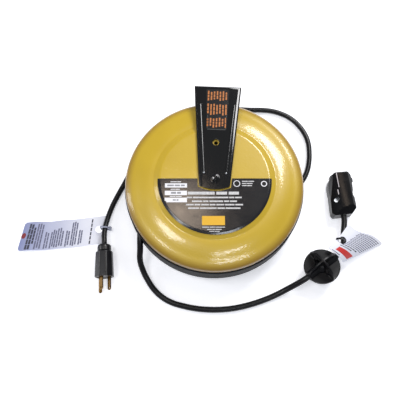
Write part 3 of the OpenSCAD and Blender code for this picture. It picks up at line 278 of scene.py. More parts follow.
def ring_of_rods(spread, low, high, width, sides=64):
    """Four upright rods on the diagonals, at a radius from the axis."""
    spots = [heading(a) * spread for a in (45, 135, 225, 315)]
    return [rod(spot.x, spot.y, low, high, width, sides) for spot in spots]


def block(low, high):
    """Rectangular cutter between two corners (mm)."""
    settle()
    low, high = Vector(low), Vector(high)
    bpy.ops.mesh.primitive_cube_add(size=1, location=(low + high) / 2 * MM, scale=(high - low) * MM)
    hold(bpy.context.object)
    bpy.ops.object.transform_apply(location=True, rotation=True, scale=True)
    return bpy.context.object


def combine(piece, tools, how="DIFFERENCE"):
    """Cut, join or cross the piece with each tool, which is used up."""
    for tool in tools:
        hold(piece)
        step = piece.modifiers.new("combine", "BOOLEAN")
        step.operation, step.object, step.solver = how, tool, "EXACT"
        bpy.ops.object.modifier_apply(modifier=step.name)
        bpy.data.objects.remove(tool)
    return piece


def thicken(piece, depth, offset=-1):
    """Give an open sheet its thickness, behind its faces or, with offset 1, in front of them."""
    hold(piece)
    step = piece.modifiers.new("thicken", "SOLIDIFY")
    step.thickness, step.offset, step.use_even_offset = depth * MM, offset, True
    bpy.ops.object.modifier_apply(modifier=step.name)
    return piece


def round_edges(piece, width, segments=2, angle=30):
    """Bevel the edges that are sharper than an angle."""
    hold(piece)
    step = piece.modifiers.new("round", "BEVEL")
    step.width, step.segments, step.limit_method = width * MM, segments, "ANGLE"
    step.angle_limit = math.radians(angle)
    bpy.ops.object.modifier_apply(modifier=step.name)
    return piece


def smooth(piece, angle=35):
    """Smooth shading that keeps corners, with large flats staying flat up to their rounded edges."""
    hold(piece)
    bpy.ops.object.shade_smooth_by_angle(angle=math.radians(angle))
    step = piece.modifiers.new("flats", "WEIGHTED_NORMAL")
    step.keep_sharp = True
    bpy.ops.object.modifier_apply(modifier=step.name)
    return piece


def move_to(piece, place):
    """Put a piece that was made round the origin in its place, and keep that place in its mesh."""
    piece.matrix_world = place
    hold(piece)
    bpy.ops.object.transform_apply(location=True, rotation=True, scale=True)
    return piece


def face_up(piece, up=1, below=math.inf):
    """Flip an open sheet unless its faces, or those below a height (mm), point up, or down with up -1."""
    facing = sum(f.normal.z * f.area for f in piece.data.polygons if f.center.z < below * MM)
    if facing * up < 0:
        open_mesh(piece)
        bpy.ops.mesh.flip_normals()
        settle()
    return piece


def own_copy(piece, name):
    """Copy of a piece with a mesh of its own."""
    twin = piece.copy()
    twin.data = piece.data.copy()
    twin.name = name
    scene.collection.objects.link(twin)
    return twin


def rounded_copy(node_name, name, width, segments=2, angle=30):
    """Copy of a CAD node with its flats merged and its corners rounded."""
    piece = own_copy(frame["nodes"][node_name], name)
    piece.parent = None
    for key in list(piece.keys()):
        del piece[key]
    hold(piece)
    bpy.ops.mesh.customdata_custom_splitnormals_clear()
    open_mesh(piece)
    bpy.ops.mesh.remove_doubles(threshold=1e-6)
    bpy.ops.mesh.dissolve_limited(angle_limit=math.radians(0.4))
    settle()
    round_edges(piece, width, segments, angle)
    return smooth(piece)


def paint(piece, material):
    """Give a piece one material all over."""
    piece.data.materials.clear()
    piece.data.materials.append(material)


def hand_over(piece, body, slot, material, *nodes):
    """Give a finished piece its material and body, and put it in the place of its CAD nodes."""
    paint(piece, material)
    settle()
    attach(piece, body)
    if nodes:
        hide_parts(*nodes)
    return piece


def frame_of(place, turn=0, roll=0):
    """Place (mm), turn about Z and roll about the piece's own X, as one matrix in metres."""
    return (Matrix.Translation(Vector(place) * MM) @ Matrix.Rotation(math.radians(turn), 4, "Z")
            @ Matrix.Rotation(math.radians(roll), 4, "X"))


LAID_ALONG_X = Matrix.Rotation(math.pi / 2, 4, "Y")         # lays an upright piece along +X


def arc(cx, cy, r, first, last, steps):
    """Points on an arc round a centre, from one angle to another in degrees."""
    return [(cx + r * math.cos(math.radians(first + (last - first) * i / steps)),
             cy + r * math.sin(math.radians(first + (last - first) * i / steps))) for i in range(steps + 1)]


def bend(a, b, c, steps):
    """Points on a smooth bend from a to c that leans towards b."""
    return [tuple((1 - t) ** 2 * p + 2 * t * (1 - t) * q + t * t * r for p, q, r in zip(a, b, c))
            for t in (i / steps for i in range(steps + 1))]


# ------------------------------------------------------------------ materials
ENAMEL_CLOUD_MM, PLASTIC_CLOUD_MM, VINYL_CLOUD_MM = 38, 14, 22      # patches over which the tone drifts
# radii over which the enamel's colour darkens to its rim colour: painted shade on the rolled rim
RIM_SHADE_FROM, RIM_SHADE_TO = 0.107, 0.124       # metres from the reel's axis
MARK_DEPTH_MM = 0.01


def linear(colour):
    """sRGB hex colour as the linear values that a shader takes."""
    parts = [int(colour[i:i + 2], 16) / 255 for i in (1, 3, 5)]
    return [p / 12.92 if p <= 0.04045 else ((p + 0.055) / 1.055) ** 2.4 for p in parts] + [1]


def node(tree, kind, settings=(), links=()):
    """Add one node with its settings, and link its inputs from (node, output) pairs."""
    made = tree.nodes.new(kind)
    for key, value in dict(settings).items():
        if isinstance(key, int) or key in made.inputs:
            made.inputs[key].default_value = value
        else:
            setattr(made, key, value)
    for key, (source, output) in dict(links).items():
        tree.links.new(source.outputs[output], made.inputs[key])
    return made


def new_material(name):
    """Empty material with its tree, and the link to the object's own coordinates in metres."""
    material = bpy.data.materials.new(name)
    material.use_nodes = True
    tree = material.node_tree
    tree.nodes.clear()
    return material, tree, (node(tree, "ShaderNodeTexCoord"), "Object")


def noise(tree, place, patch_mm, detail=2):
    """Cloudy noise in patches of about this size."""
    return node(tree, "ShaderNodeTexNoise", {"Scale": 1000 / patch_mm, "Detail": detail}, {"Vector": place})


def tones(tree, low, high, share):
    """Colour between two sRGB tones, by the share that a node gives."""
    return node(tree, "ShaderNodeMix", {"data_type": "RGBA", 6: linear(low), 7: linear(high)}, {0: share})


def relief(tree, source, depth_mm):
    """Bump that follows a noise."""
    return node(tree, "ShaderNodeBump", {"Strength": 1, "Distance": depth_mm * MM},
                {"Height": (source, "Fac")})


def uneven_gloss(tree, source, low, high):
    """Roughness that drifts between two values with a noise."""
    return node(tree, "ShaderNodeMapRange", {"To Min": low, "To Max": high}, {"Value": (source, "Fac")})


def close(material, tree, settings, links):
    """End the material in one principled shader."""
    shader = node(tree, "ShaderNodeBsdfPrincipled", settings, links)
    node(tree, "ShaderNodeOutputMaterial", links={"Surface": (shader, "BSDF")})
    return material


def stoved_enamel(name, low, high, rim, peel_mm, peel_depth_mm, rough, coat, level=0.5):
    """Baked enamel on steel: a glossy film with a fine orange peel; painted shade darkens its colour
    towards the rolled rim.
    """
    material, tree, here = new_material(name)
    flat = node(tree, "ShaderNodeVectorMath", {"operation": "MULTIPLY", 1: (1, 1, 0)}, {0: here})
    out = node(tree, "ShaderNodeVectorMath", {"operation": "LENGTH"}, {0: (flat, "Vector")})
    # painted shade: by radius, how far the film's colour gives way to the darker rim colour
    share = node(tree, "ShaderNodeMapRange",
                 {"From Min": RIM_SHADE_FROM, "From Max": RIM_SHADE_TO, "interpolation_type": "SMOOTHSTEP"},
                 {"Value": (out, "Value")})
    film = tones(tree, low, high, (noise(tree, here, ENAMEL_CLOUD_MM), "Fac"))
    colour = node(tree, "ShaderNodeMix", {"data_type": "RGBA", 7: linear(rim)},
                  {0: (share, "Result"), 6: (film, 2)})
    bump = relief(tree, noise(tree, here, peel_mm, 1.5), peel_depth_mm)
    return close(material, tree,
                 {"Roughness": rough, "IOR": 1.5, "Specular IOR Level": level, "Coat Weight": coat,
                  "Coat Roughness": 0.07, "Coat IOR": 1.5},
                 {"Base Color": (colour, 2), "Normal": (bump, "Normal"), "Coat Normal": (bump, "Normal")})


def moulded_plastic(name, low, high, grain_mm, grain_depth_mm, rough, level=0.5):
    """Moulded plastic or rubber: a faint spark-eroded grain and slightly uneven gloss."""
    material, tree, here = new_material(name)
    cloud = noise(tree, here, PLASTIC_CLOUD_MM, 3)
    bump = relief(tree, noise(tree, here, grain_mm), grain_depth_mm)
    colour = tones(tree, low, high, (cloud, "Fac"))
    gloss = uneven_gloss(tree, cloud, rough - 0.05, rough + 0.07)
    return close(material, tree, {"IOR": 1.5, "Specular IOR Level": level},
                 {"Base Color": (colour, 2), "Roughness": (gloss, "Result"), "Normal": (bump, "Normal")})


def worked_metal(name, low, high, grain_mm, rough, stretch=(1, 1, 1)):
    """Bare or plated metal: cloudy tone, and marks of the rolling or turning that made it."""
    material, tree, here = new_material(name)
    stretched = node(tree, "ShaderNodeMapping", {"Scale": stretch}, {"Vector": here})
    marks = noise(tree, (stretched, "Vector"), grain_mm, 3)
    bump = relief(tree, marks, MARK_DEPTH_MM)
    colour = tones(tree, low, high, (marks, "Fac"))
    gloss = uneven_gloss(tree, marks, rough - 0.06, rough + 0.1)
    return close(material, tree, {"Metallic": 1},
                 {"Base Color": (colour, 2), "Roughness": (gloss, "Result"), "Normal": (bump, "Normal")})


def shade_painted_vinyl(name, left, right, start, end):
    """Sheet vinyl with painted shade: its tone runs from one colour to another between two places along X
    (in metres), under a faint cloud of tone.
    """
    material, tree, here = new_material(name)
    place = node(tree, "ShaderNodeSeparateXYZ", {}, {"Vector": here})
    # painted shade: the tone runs from the shaded end to the lit end along X
    share = node(tree, "ShaderNodeMapRange", {"From Min": start, "From Max": end}, {"Value": (place, "X")})
    tint = tones(tree, left, right, (share, "Result"))
    colour = node(tree, "ShaderNodeMix",
                  {"data_type": "RGBA", "blend_type": "MULTIPLY", 7: linear("#e9eaf2")},
                  {0: (noise(tree, here, VINYL_CLOUD_MM), "Fac"), 6: (tint, 2)})
    return close(material, tree, {"Roughness": 0.42, "IOR": 1.5}, {"Base Color": (colour, 2)})


def printed_ink(name, low, high, patch_mm=1.5):
    """Screen-printed ink: matt, slightly thin in places, so the tone is never quite even."""
    material, tree, here = new_material(name)
    colour = tones(tree, low, high, (noise(tree, here, patch_mm), "Fac"))
    return close(material, tree, {"Roughness": 0.45, "IOR": 1.5}, {"Base Color": (colour, 2)})


# Thick baked enamel on drawn steel: a deep, glassy yellow whose highlights break up on a lumpy orange peel,
# with painted shade in a darker orange-brown on the rolled rim.
yellow_enamel = stoved_enamel("hammered_yellow_enamel", "#c2a119", "#ceae24", "#886214",
                              2.4, 0.12, 0.34, 0.75, 0.75)
# Thin gloss enamel on the bracket: a near-black mirror with a barely seen ripple.
black_enamel = stoved_enamel("stoved_black_enamel", "#090a0a", "#0e0f0f", "#0a0a0b", 1.4, 0.012, 0.11, 0.3)
# Satin enamel without a top coat on the rear cover: an even black with no clear reflections.
pan_enamel = stoved_enamel("satin_black_enamel", "#0a0a0c", "#0e0e11", "#0a0a0c", 1.1, 0.05, 0.6, 0, 0.2)
# ABS from a polished mould: black with soft, clean highlights on its edges.
glossy_black = moulded_plastic("smooth_black_abs", "#09090b", "#0f0f12", 0.7, 0.006, 0.21, 0.24)
# The same plastic made pale for a bead on the outlet's ridge: a painted highlight of the light that the
# ridge catches.
painted_seam_highlight = moulded_plastic("seam_highlight_painted_abs", "#b9b0b3", "#efe8ea", 0.9, 0.01, 0.3)
# Glass-filled nylon: black, slightly grainy, with a broad sheen.
moulded_black = moulded_plastic("moulded_black_nylon", "#101012", "#161618", 0.6, 0.012, 0.36)
# Soft vinyl of plugs: blue-black, with a rubbery gloss.
black_vinyl = moulded_plastic("moulded_soft_black_vinyl", "#0b0b0e", "#131317", 0.5, 0.014, 0.3)
# The same vinyl, handled until its gloss is half gone.
dull_vinyl = moulded_plastic("dull_black_vinyl", "#0b0b0d", "#121216", 0.5, 0.014, 0.32, 0.27)
# Extruded rubber jacket: black with one long, soft light along the cord.
cord_jacket = moulded_plastic("extruded_rubber_cord_jacket", "#0b0b0d", "#131316", 0.6, 0.012, 0.3, 0.35)
# Vinyl sheet: clean white, with painted shade that makes it a little blue towards its low-X end.
white_vinyl = shade_painted_vinyl("white_vinyl_painted_shade", "#eceef8", "#f4f5fa", 0.15, 0.24)
# Vinyl sheet with painted shade of its waves: dark lavender at its far end, running to white at the plug.
lavender_painted_shade_vinyl = shade_painted_vinyl("lavender_sheet_painted_shade", "#8790bc", "#f4f5fc", -0.276, -0.175)
# Nylon in its own colour: warm, waxy off-white.
natural_nylon = moulded_plastic("natural_nylon", "#d9d6cc", "#e6e4dc", 0.5, 0.006, 0.4)
# Tie strap in a dim blue-grey.
white_tie = moulded_plastic("blue_grey_nylon_tie", "#8d92a6", "#9ea2b6", 0.4, 0.006, 0.35)
# Black tie strap: a plain soft black.
black_tie = moulded_plastic("black_nylon_tie", "#151517", "#1c1c1f", 0.4, 0.006, 0.33)
# Paper-filled phenolic board: red-brown with a dull shine.
phenolic = moulded_plastic("brown_phenolic", "#4a2c1c", "#5e3a26", 0.5, 0.01, 0.34)
# Pressed carbon of the brushes: matt dark grey.
pressed_carbon = moulded_plastic("pressed_carbon", "#2c2c2e", "#3a3a3c", 0.3, 0.02, 0.5)
# Printed polyester film: glossy black with a fine ripple from the adhesive under it.
label_film = moulded_plastic("gloss_black_label_film", "#151416", "#1b1a1b", 1.6, 0.02, 0.16, 0.75)
# Zinc plate on small steel parts: bright, cold and slightly cloudy.
zinc_steel = worked_metal("zinc_plated_steel", "#a9acb0", "#bfc2c6", 1.2, 0.3)
# Tempered strip: blue-grey, with marks drawn out along the strip.
spring_steel = worked_metal("blued_spring_steel", "#5c6068", "#74787f", 0.9, 0.28, (1, 1, 6))
# Brass of the pins and contacts, browned in the air.
stamped_brass = worked_metal("tarnished_brass", "#5a482a", "#94703a", 0.8, 0.24)
# Oil-filled bronze of the bushings: brown and finely porous.
sintered_bronze = worked_metal("sintered_bronze", "#8e6334", "#a87a44", 0.35, 0.42)
# Opaque white ink, even on the boxes and rings.
white_ink = printed_ink("white_label_ink", "#e9e9ee", "#f6f6fa")
# The same ink, broken up within each bar, so that the bars look like fine print from afar.
broken_white_ink = printed_ink("broken_white_label_ink", "#77777c", "#ffffff", 1.1)
# Thin grey ink of what is entered in the white boxes.
entry_ink = printed_ink("thin_grey_entry_ink", "#55555c", "#b4b4bb", 1.0)
# Warm yellow block on the label.
yellow_ink = printed_ink("yellow_label_ink", "#e0ab1e", "#ecb82c")
# Orange ink printed so thin that the black film shows through in specks.
orange_ink = printed_ink("orange_label_ink", "#7c4a1c", "#dd8438", 1.6)
# Dark grey line round the sticker's foot, just visible on the black.
edge_ink = printed_ink("grey_label_ink", "#3e4240", "#4a4e4c")
# Inks of the tags: a clear red, a dark red, and two blue-greys of fine print.
red_ink = printed_ink("red_tag_ink", "#c42d2c", "#d13a36")
dark_red_ink = printed_ink("dark_red_tag_ink", "#7c222b", "#8a2a32")
grey_ink = printed_ink("grey_tag_ink", "#5c5e78", "#6e7089")
dark_ink = printed_ink("dark_tag_ink", "#2c2d3e", "#3c3d50")

BY_SLOT = {
    "yellow_enamel": yellow_enamel, "black_enamel": black_enamel, "zinc_steel": zinc_steel,
    "spring_steel": spring_steel, "sintered_bronze": sintered_bronze, "brass": stamped_brass,
    "carbon": pressed_carbon, "phenolic": phenolic, "moulded_black": moulded_black,
    "glossy_black": glossy_black, "black_vinyl": black_vinyl, "cord_jacket": cord_jacket,
    "nylon": natural_nylon, "white_tie": white_tie, "black_tie": black_tie,
    "white_vinyl": white_vinyl, "black_label": label_film}


def dress_packed_parts():
    """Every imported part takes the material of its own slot."""
    slots = {s["node"]: s["material_slot"] for s in frame["record"]["subparts"]}
    for name, part in frame["nodes"].items():
        paint(part, BY_SLOT[slots[name]])


# ------------------------------------------------------------------ outline of the bracket
LEG_END, LEG_END_R, LEG_END_W, LEG_TOP_W = 15.0, 48.0, 41.0, 65.0
PLATE_Y, PLATE_BEND, PLATE_LOW = 139.0, 6.0, 14.0
LEG_Z, LEG_T = 76.8, 2.5
LEG_TOP_Z = LEG_Z + LEG_T
LEAN = -2.4             # turn of the bracket and all on it, in degrees
LOCK_R = 52.0           # from the pivot to the locking hole


def turned(point, turn):
    """Point turned about the reel's axis (mm)."""
    return Matrix.Rotation(math.radians(turn), 3, "Z") @ Vector(point)


def bracket_place(x, y, z=0.0):
    """Point laid out on the upright bracket, leaned to where it stands (mm)."""
    return turned((x, y, z), LEAN)


def leg_outline(margin=0):
    """Outline of the bracket's leg, from its rounded end up to the bend."""
    half = math.degrees(math.asin((LEG_END_W / 2 + margin) / (LEG_END_R + margin)))
    end = arc(0, LEG_END_R - LEG_END, LEG_END_R + margin, -90 - half, -90 + half, 24)
    high = PLATE_Y - PLATE_BEND
    return end + [(LEG_TOP_W / 2 + margin, high), (-LEG_TOP_W / 2 - margin, high)]


# ------------------------------------------------------------------ covers
COVER_R, PLATEAU_R, STEP_W, STEP_H = 120.5, 71.5, 11.0, 4.5
CREASE_R, CREASE_Z, SKIRT_Z, SHEET = 104.0, 67.0, 54.0, 1.2
BACK_Z, PAN_R, PAN_CORNER, LIP_R = 13.0, 122.0, 8.0, 119.0
STEP_TOP, STEP_FOOT = 0.26, 0.16            # shares of the step's width that its two bends take
PIVOT_HOLE_D, LOCK_HOLE_D = 10.1, 5.5
SHAFT_SCREW_R, COVER_SCREW_R, SCREW_HOLE_D = 15.0, 39.0, 4.3
LEAD_PITCH, LEAD_Y, LEAD_HOLE_D = 10.0, -30.0, 3.8
PAWL_TURN, PAWL_AT, PAWL_HOLE_D = 210, (32, 92), 5.1
GUIDE_AT, GUIDE_HOLE_D = (-100.3, -70, 38), 16.1


def step_drop(r):
    """Depth of the step below the flat face at a radius: a straight slope between two tight bends."""
    t = min(max((r - PLATEAU_R) / STEP_W, 0), 1)
    full = 1 - (STEP_TOP + STEP_FOOT) / 2
    if t < STEP_TOP:
        return STEP_H * t * t / (2 * STEP_TOP) / full
    if t < 1 - STEP_FOOT:
        return STEP_H * (t - STEP_TOP / 2) / full
    return STEP_H * (1 - (1 - t) ** 2 / (2 * STEP_FOOT) / full)


def make_lid():
    """Front cover: flat face, step, sloping ring and deep rolled rim, with the pivot and locking holes."""
    step_end = PLATEAU_R + STEP_W
    low = FRONT_H - STEP_H
    profile = [(0, FRONT_H), (20, FRONT_H), (45, FRONT_H), (64, FRONT_H)]
    for share in (0, 0.05, 0.1, 0.15, 0.2, 0.26, 0.4, 0.6, 0.8, 0.84, 0.88, 0.92, 0.96, 1):
        r = PLATEAU_R + STEP_W * share
        profile.append((r, FRONT_H - step_drop(r)))
    profile += bend((step_end + 3, low - 0.1), ((step_end + CREASE_R) / 2, low - 0.6),
                    (CREASE_R, CREASE_Z), 12)
    profile += bend((CREASE_R + 3, CREASE_Z - 1), (COVER_R - 0.6, CREASE_Z - 4),
                    (COVER_R, SKIRT_Z + 4.1), 16)
    profile += [(COVER_R, SKIRT_Z + 2), (COVER_R, SKIRT_Z - 0.8)]
    lid = face_up(lathe("lid_pressing", profile, 256))
    thicken(lid, SHEET)
    lock = bracket_place(0, LOCK_R)
    under, over = FRONT_H - 6, FRONT_H + 4
    combine(lid, [rod(0, 0, under, over, PIVOT_HOLE_D), rod(lock.x, lock.y, under, over, LOCK_HOLE_D)])
    smooth(lid, 40)
    hand_over(lid, "housing", "yellow_enamel", yellow_enamel, "front_cover")


def make_pan():
    """Rear cover: a flat-backed pan with a stepped lip that fits inside the lid, and its holes."""
    profile = [(0, BACK_Z), (40, BACK_Z), (80, BACK_Z), (PAN_R - PAN_CORNER - 2, BACK_Z)]
    profile += arc(PAN_R - PAN_CORNER, BACK_Z + PAN_CORNER, PAN_CORNER, -90, 0, 14)
    profile += [(PAN_R, 35), (PAN_R, SKIRT_Z - 5), (PAN_R, SKIRT_Z - 4), (PAN_R - 0.4, SKIRT_Z - 3.2),
                (LIP_R + 0.4, SKIRT_Z - 1), (LIP_R, SKIRT_Z - 0.2), (LIP_R, SKIRT_Z + 1),
                (LIP_R, SKIRT_Z + 3.8)]
    pan = face_up(lathe("pan_pressing", profile, 256), -1, BACK_Z + 0.1)
    thicken(pan, SHEET)
    under, over = BACK_Z - 1, BACK_Z + 2
    holes = (ring_of_rods(SHAFT_SCREW_R, under, over, SCREW_HOLE_D, 24)
             + ring_of_rods(COVER_SCREW_R, under, over, SCREW_HOLE_D, 24))
    holes += [rod(i * LEAD_PITCH, LEAD_Y, under, over, LEAD_HOLE_D, 24) for i in (-1, 0, 1)]
    pawl = turned((*PAWL_AT, 0), PAWL_TURN)
    holes.append(rod(pawl.x, pawl.y, under, over, PAWL_HOLE_D, 24))
    guide = rod(0, 0, -40, 40, GUIDE_HOLE_D)
    holes.append(move_to(guide, frame_of(GUIDE_AT, 0, 90)))
    combine(pan, holes)
    smooth(pan, 40)
    hand_over(pan, "housing", "black_enamel", pan_enamel, "rear_cover")


# ------------------------------------------------------------------ printed labels
LABEL_R, LABEL_EDGE, LABEL_T, LABEL_GAP = 75.6, 0.9, 0.25, 0.02
RIM_R, RIM_SLOPE = 72.45, 0.32              # where the film's rim leaves the flat to bridge the bend
INK_LIFT, INK_T = 0.01, 0.04


def make_label():
    """Half-round film on the lid, cut out round the bracket's end."""
    foot = FRONT_H + LABEL_GAP
    profile = [(r, foot) for r in (0, 40, 62, PLATEAU_R, RIM_R)]
    profile += [(r, foot - RIM_SLOPE * (r - RIM_R)) for r in (73.2, LABEL_R)]
    film = face_up(lathe("label_film", profile, 256))
    open_mesh(film)
    bpy.ops.mesh.bisect(plane_co=(0, LABEL_EDGE * MM, 0), plane_no=(0, 1, 0), clear_outer=True)
    settle()
    thicken(film, LABEL_T, offset=1)
    notch = slab("label_notch", [bracket_place(x, y).to_2d() for x, y in leg_outline(1.4)],
                 FRONT_H - 2, FRONT_H + 4)
    combine(film, [notch])
    smooth(film, 40)
    hand_over(film, "housing", "black_label", label_film, "main_label")


def on_label(x, y):
    """Point on the label film over a place of the lid."""
    return Vector((x, y, FRONT_H + LABEL_GAP + LABEL_T - step_drop(math.hypot(x, y))))


def over_boxes(x, y):
    """Point just above the ink of the label's white boxes."""
    return on_label(x, y) + Vector((0, 0, INK_LIFT + INK_T))


def on_sticker(x, y):
    """Point on the bracket's sticker."""
    return bracket_place(x, y, LEG_TOP_Z + LABEL_GAP + LABEL_T)


def print_patch(surface, x0, y0, x1, y1):
    """Patch of ink on a surface, between two corners of its flat layout."""
    settle()
    cells = max(2, round(abs(x1 - x0) / 3) + 1), max(2, round(abs(y1 - y0) / 3) + 1)
    bpy.ops.mesh.primitive_grid_add(x_subdivisions=cells[0], y_subdivisions=cells[1], size=2)
    patch = bpy.context.object
    for vert in patch.data.vertices:
        x = x0 + (x1 - x0) * (vert.co.x + 1) / 2
        y = y0 + (y1 - y0) * (vert.co.y + 1) / 2
        vert.co = (surface(x, y) + Vector((0, 0, INK_LIFT))) * MM
    return patch


def print_line(surface, x0, x1, y, height, words, gap_share=0.55):
    """Row of plain bars, one for each word length, with gaps that are a share of the row's height."""
    gap = height * gap_share
    unit = (x1 - x0 - gap * (len(words) - 1)) / sum(words)
    bars, x = [], x0
    for word in words:
        bars.append(print_patch(surface, x, y - height / 2, x + word * unit, y + height / 2))
        x += word * unit + gap
    return bars


def print_lines(surface, lines):
    """Rows of bars, each given by its two ends, its middle's place, its height and its word lengths."""
    return [bar for line in lines for bar in print_line(surface, *line)]


def crosswise(surface):
    """The same surface with its two directions changed over, so that rows run up it."""
    return lambda u, v: surface(v, u)


def print_ring(surface, x, y, outer, inner):
    """Ring of ink on a surface, round a place of its flat layout."""
    ring = lathe("print_ring", [(inner, 0), (outer, 0)], 40)
    for vert in ring.data.vertices:
        px, py = vert.co.x / MM + x, vert.co.y / MM + y
        vert.co = (surface(px, py) + Vector((0, 0, INK_LIFT))) * MM
    return ring


def join_print(name, patches, body, slot, ink):
    """All patches of one ink as one thin printed layer."""
    hold(*patches)
    bpy.ops.object.join()
    layer = bpy.context.object
    layer.name = name
    face_up(layer)
    thicken(layer, INK_T, offset=1)
    return hand_over(layer, body, slot, ink)


def print_label():
    """White boxes, rings and rows of bars, a yellow block, and grey entries in the boxes."""
    white = [print_patch(on_label, -65.6, low, -36.5, high)
             for low, high in ((-11.9, -6.0), (-22.5, -16.4), (-32.3, -26.0))]
    white += print_lines(on_label, [
        (-58.5, -44.5, -3.9, 1.0, (7, 4)), (-58, -46, -14.3, 1.0, (5, 5)),
        (-59, -43.5, -24.3, 1.0, (6, 6))])
    white += [print_ring(on_label, 29.2, -6.3, 4.5, 3.6), print_ring(on_label, 65.1, -6.6, 4.0, 2.9)]
    join_print("label_white_print", white, "housing", "black_label", white_ink)
    rows = print_lines(on_label, [
        (-35.4, 31.7, -19.7, 4.0, (10.5, 4.2, 4)), (-36.5, 35.3, -25.7, 2.0, (3, 21, 3, 4)),
        (-29.9, 28.9, -30.9, 2.0, (6, 3, 8, 3, 4)), (-37.7, 36.7, -35.6, 2.0, (4, 3, 4, 3, 4, 5, 4)),
        (-35.0, 33.2, -40.4, 2.0, (6, 9, 4, 8)), (-16.5, 12.8, -66.0, 1.1, (7, 6, 9)),
        (-10.5, 8.5, -69.0, 1.1, (4, 2, 5)), (-7.5, 6.0, -71.6, 1.0, (4, 4)),
        (36, 52, -3.2, 1.3, (5, 5)), (36, 50, -6.2, 1.3, (4, 5)), (36, 49, -9.2, 1.3, (4, 4))])
    join_print("label_row_print", rows, "housing", "black_label", broken_white_ink)
    entries = print_lines(over_boxes, [
        (-62.5, -39.5, -8.9, 2.2, (5, 4, 3)), (-57.5, -44.5, -19.3, 2.6, (4, 3)),
        (-55.0, -47.5, -29.2, 1.8, (3, 2))])
    join_print("label_entry_print", entries, "housing", "black_label", entry_ink)
    yellow = [print_patch(on_label, -16.8, -63.3, 12.8, -51.0)]
    join_print("label_yellow_print", yellow, "housing", "black_label", yellow_ink)


def print_sticker():
    """Three blocks of ragged columns, and a thin line round the sticker's foot."""
    runs = [(4, 3, 5), (6, 4), (3, 5, 4), (5, 6), (4, 4, 3), (3, 7), (5, 3, 4)]
    first_x, pitch, width = -12.6, 4.1, 2.1
    columns = crosswise(on_sticker)
    orange = []
    for block_no, (high, low) in enumerate(((129.2, 114.2), (109.4, 92.0), (88.4, 73.2))):
        for column in range(len(runs)):
            odd = (column * 5 + block_no * 3) % 4
            orange += print_line(columns, low + 0.9 * odd, high - 0.8 * ((odd + column) % 3),
                                 first_x + column * pitch, width,
                                 runs[(column + 2 * block_no) % len(runs)], 0.4)
    join_print("sticker_orange_print", orange, "bracket", "black_label", orange_ink)
    edge = [print_patch(on_sticker, -12.4, 70.4, 12.4, 71.0),
            print_patch(on_sticker, -13.1, 72.2, -12.6, 92), print_patch(on_sticker, 12.6, 72.2, 13.1, 92)]
    join_print("sticker_grey_edge", edge, "bracket", "black_label", edge_ink)


# ------------------------------------------------------------------ bracket
RIB_LOW, RIB_HIGH, RIB_W, RIB_H = Vector((15, 9)), Vector((23.5, 108)), 3.8, 1.15
MARGIN_W, MARGIN_LEAN, EDGE_W = 2.6, 9.5, 1.7       # groove beside the rib, and the flat left at the edge
LEG_HOLE_D, PLATE_HOLE_R, PLATE_HOLE_D = 9.0, 27.0, 7.2
HEAD_ACROSS, HEAD_H, HEAD_TURN, STEM_D = 8.7, 4.6, 20, 6.0
RIB_ROOT = 0.4          # depth of the rib's foot inside the leg
PIP_AT, PIP_R, PIP_SINK = (-18.6, -8.8), 1.6, 1.1


def stamped_rib(side):
    """Long half-round rib with round ends, standing on the leg."""
    radius = ((RIB_W / 2) ** 2 + RIB_H ** 2) / (2 * RIB_H)
    rib = sphere("stamped_rib", radius, 64)
    run = (RIB_HIGH - RIB_LOW).length
    open_mesh(rib)
    mark(rib, "verts", lambda place, _: place.x > 1e-4)
    bpy.ops.transform.translate(value=(run * MM, 0, 0))
    take_all()
    bpy.ops.mesh.bisect(plane_co=(0, 0, (radius - RIB_H - RIB_ROOT) * MM), plane_no=(0, 0, 1),
                        clear_inner=True, use_fill=True)
    settle()
    turn = math.degrees(math.atan2(RIB_HIGH.y - RIB_LOW.y, side * (RIB_HIGH.x - RIB_LOW.x)))
    return move_to(rib, frame_of((side * RIB_LOW.x, RIB_LOW.y, LEG_TOP_Z + RIB_H - radius), turn))


def margin_cutter(side):
    """Long cutter of the shallow groove beside the rib, which leans down towards the leg's edge."""
    low, high = Vector((LEG_END_W / 2, -8)), Vector((LEG_TOP_W / 2, PLATE_Y - PLATE_BEND))
    if side < 0:
        low, high = Vector((-high.x, high.y)), Vector((-low.x, low.y))
    along = (high - low).normalized()
    inside = Vector((-along.y, along.x))
    start = low + inside * (MARGIN_W + EDGE_W)
    past = 20
    cutter = block((-past, -MARGIN_W, 0), ((high - low).length + past, 0, 4))
    return move_to(cutter, frame_of((start.x, start.y, LEG_TOP_Z),
                                    math.degrees(math.atan2(along.y, along.x)), MARGIN_LEAN))


def make_rib_glint_studs():
    """Small bright domed zinc studs at the low ends of the ribs, put where the ribs' ends show glints: a
    painted highlight.
    """
    for side in (-1, 1):
        spot = bracket_place(side * (RIB_LOW.x - 0.2), RIB_LOW.y - 1.6)
        stud = lathe("rib_glint_stud", [(0, 0.9), (0.7, 0.82), (1.2, 0.55), (1.5, 0.1), (1.5, -0.5), (0, -0.5)],
                     24)
        move_to(smooth(stud, 50), frame_of((spot.x, spot.y, LEG_TOP_Z + 0.3)))
        hand_over(stud, "bracket", "zinc_steel", zinc_steel)


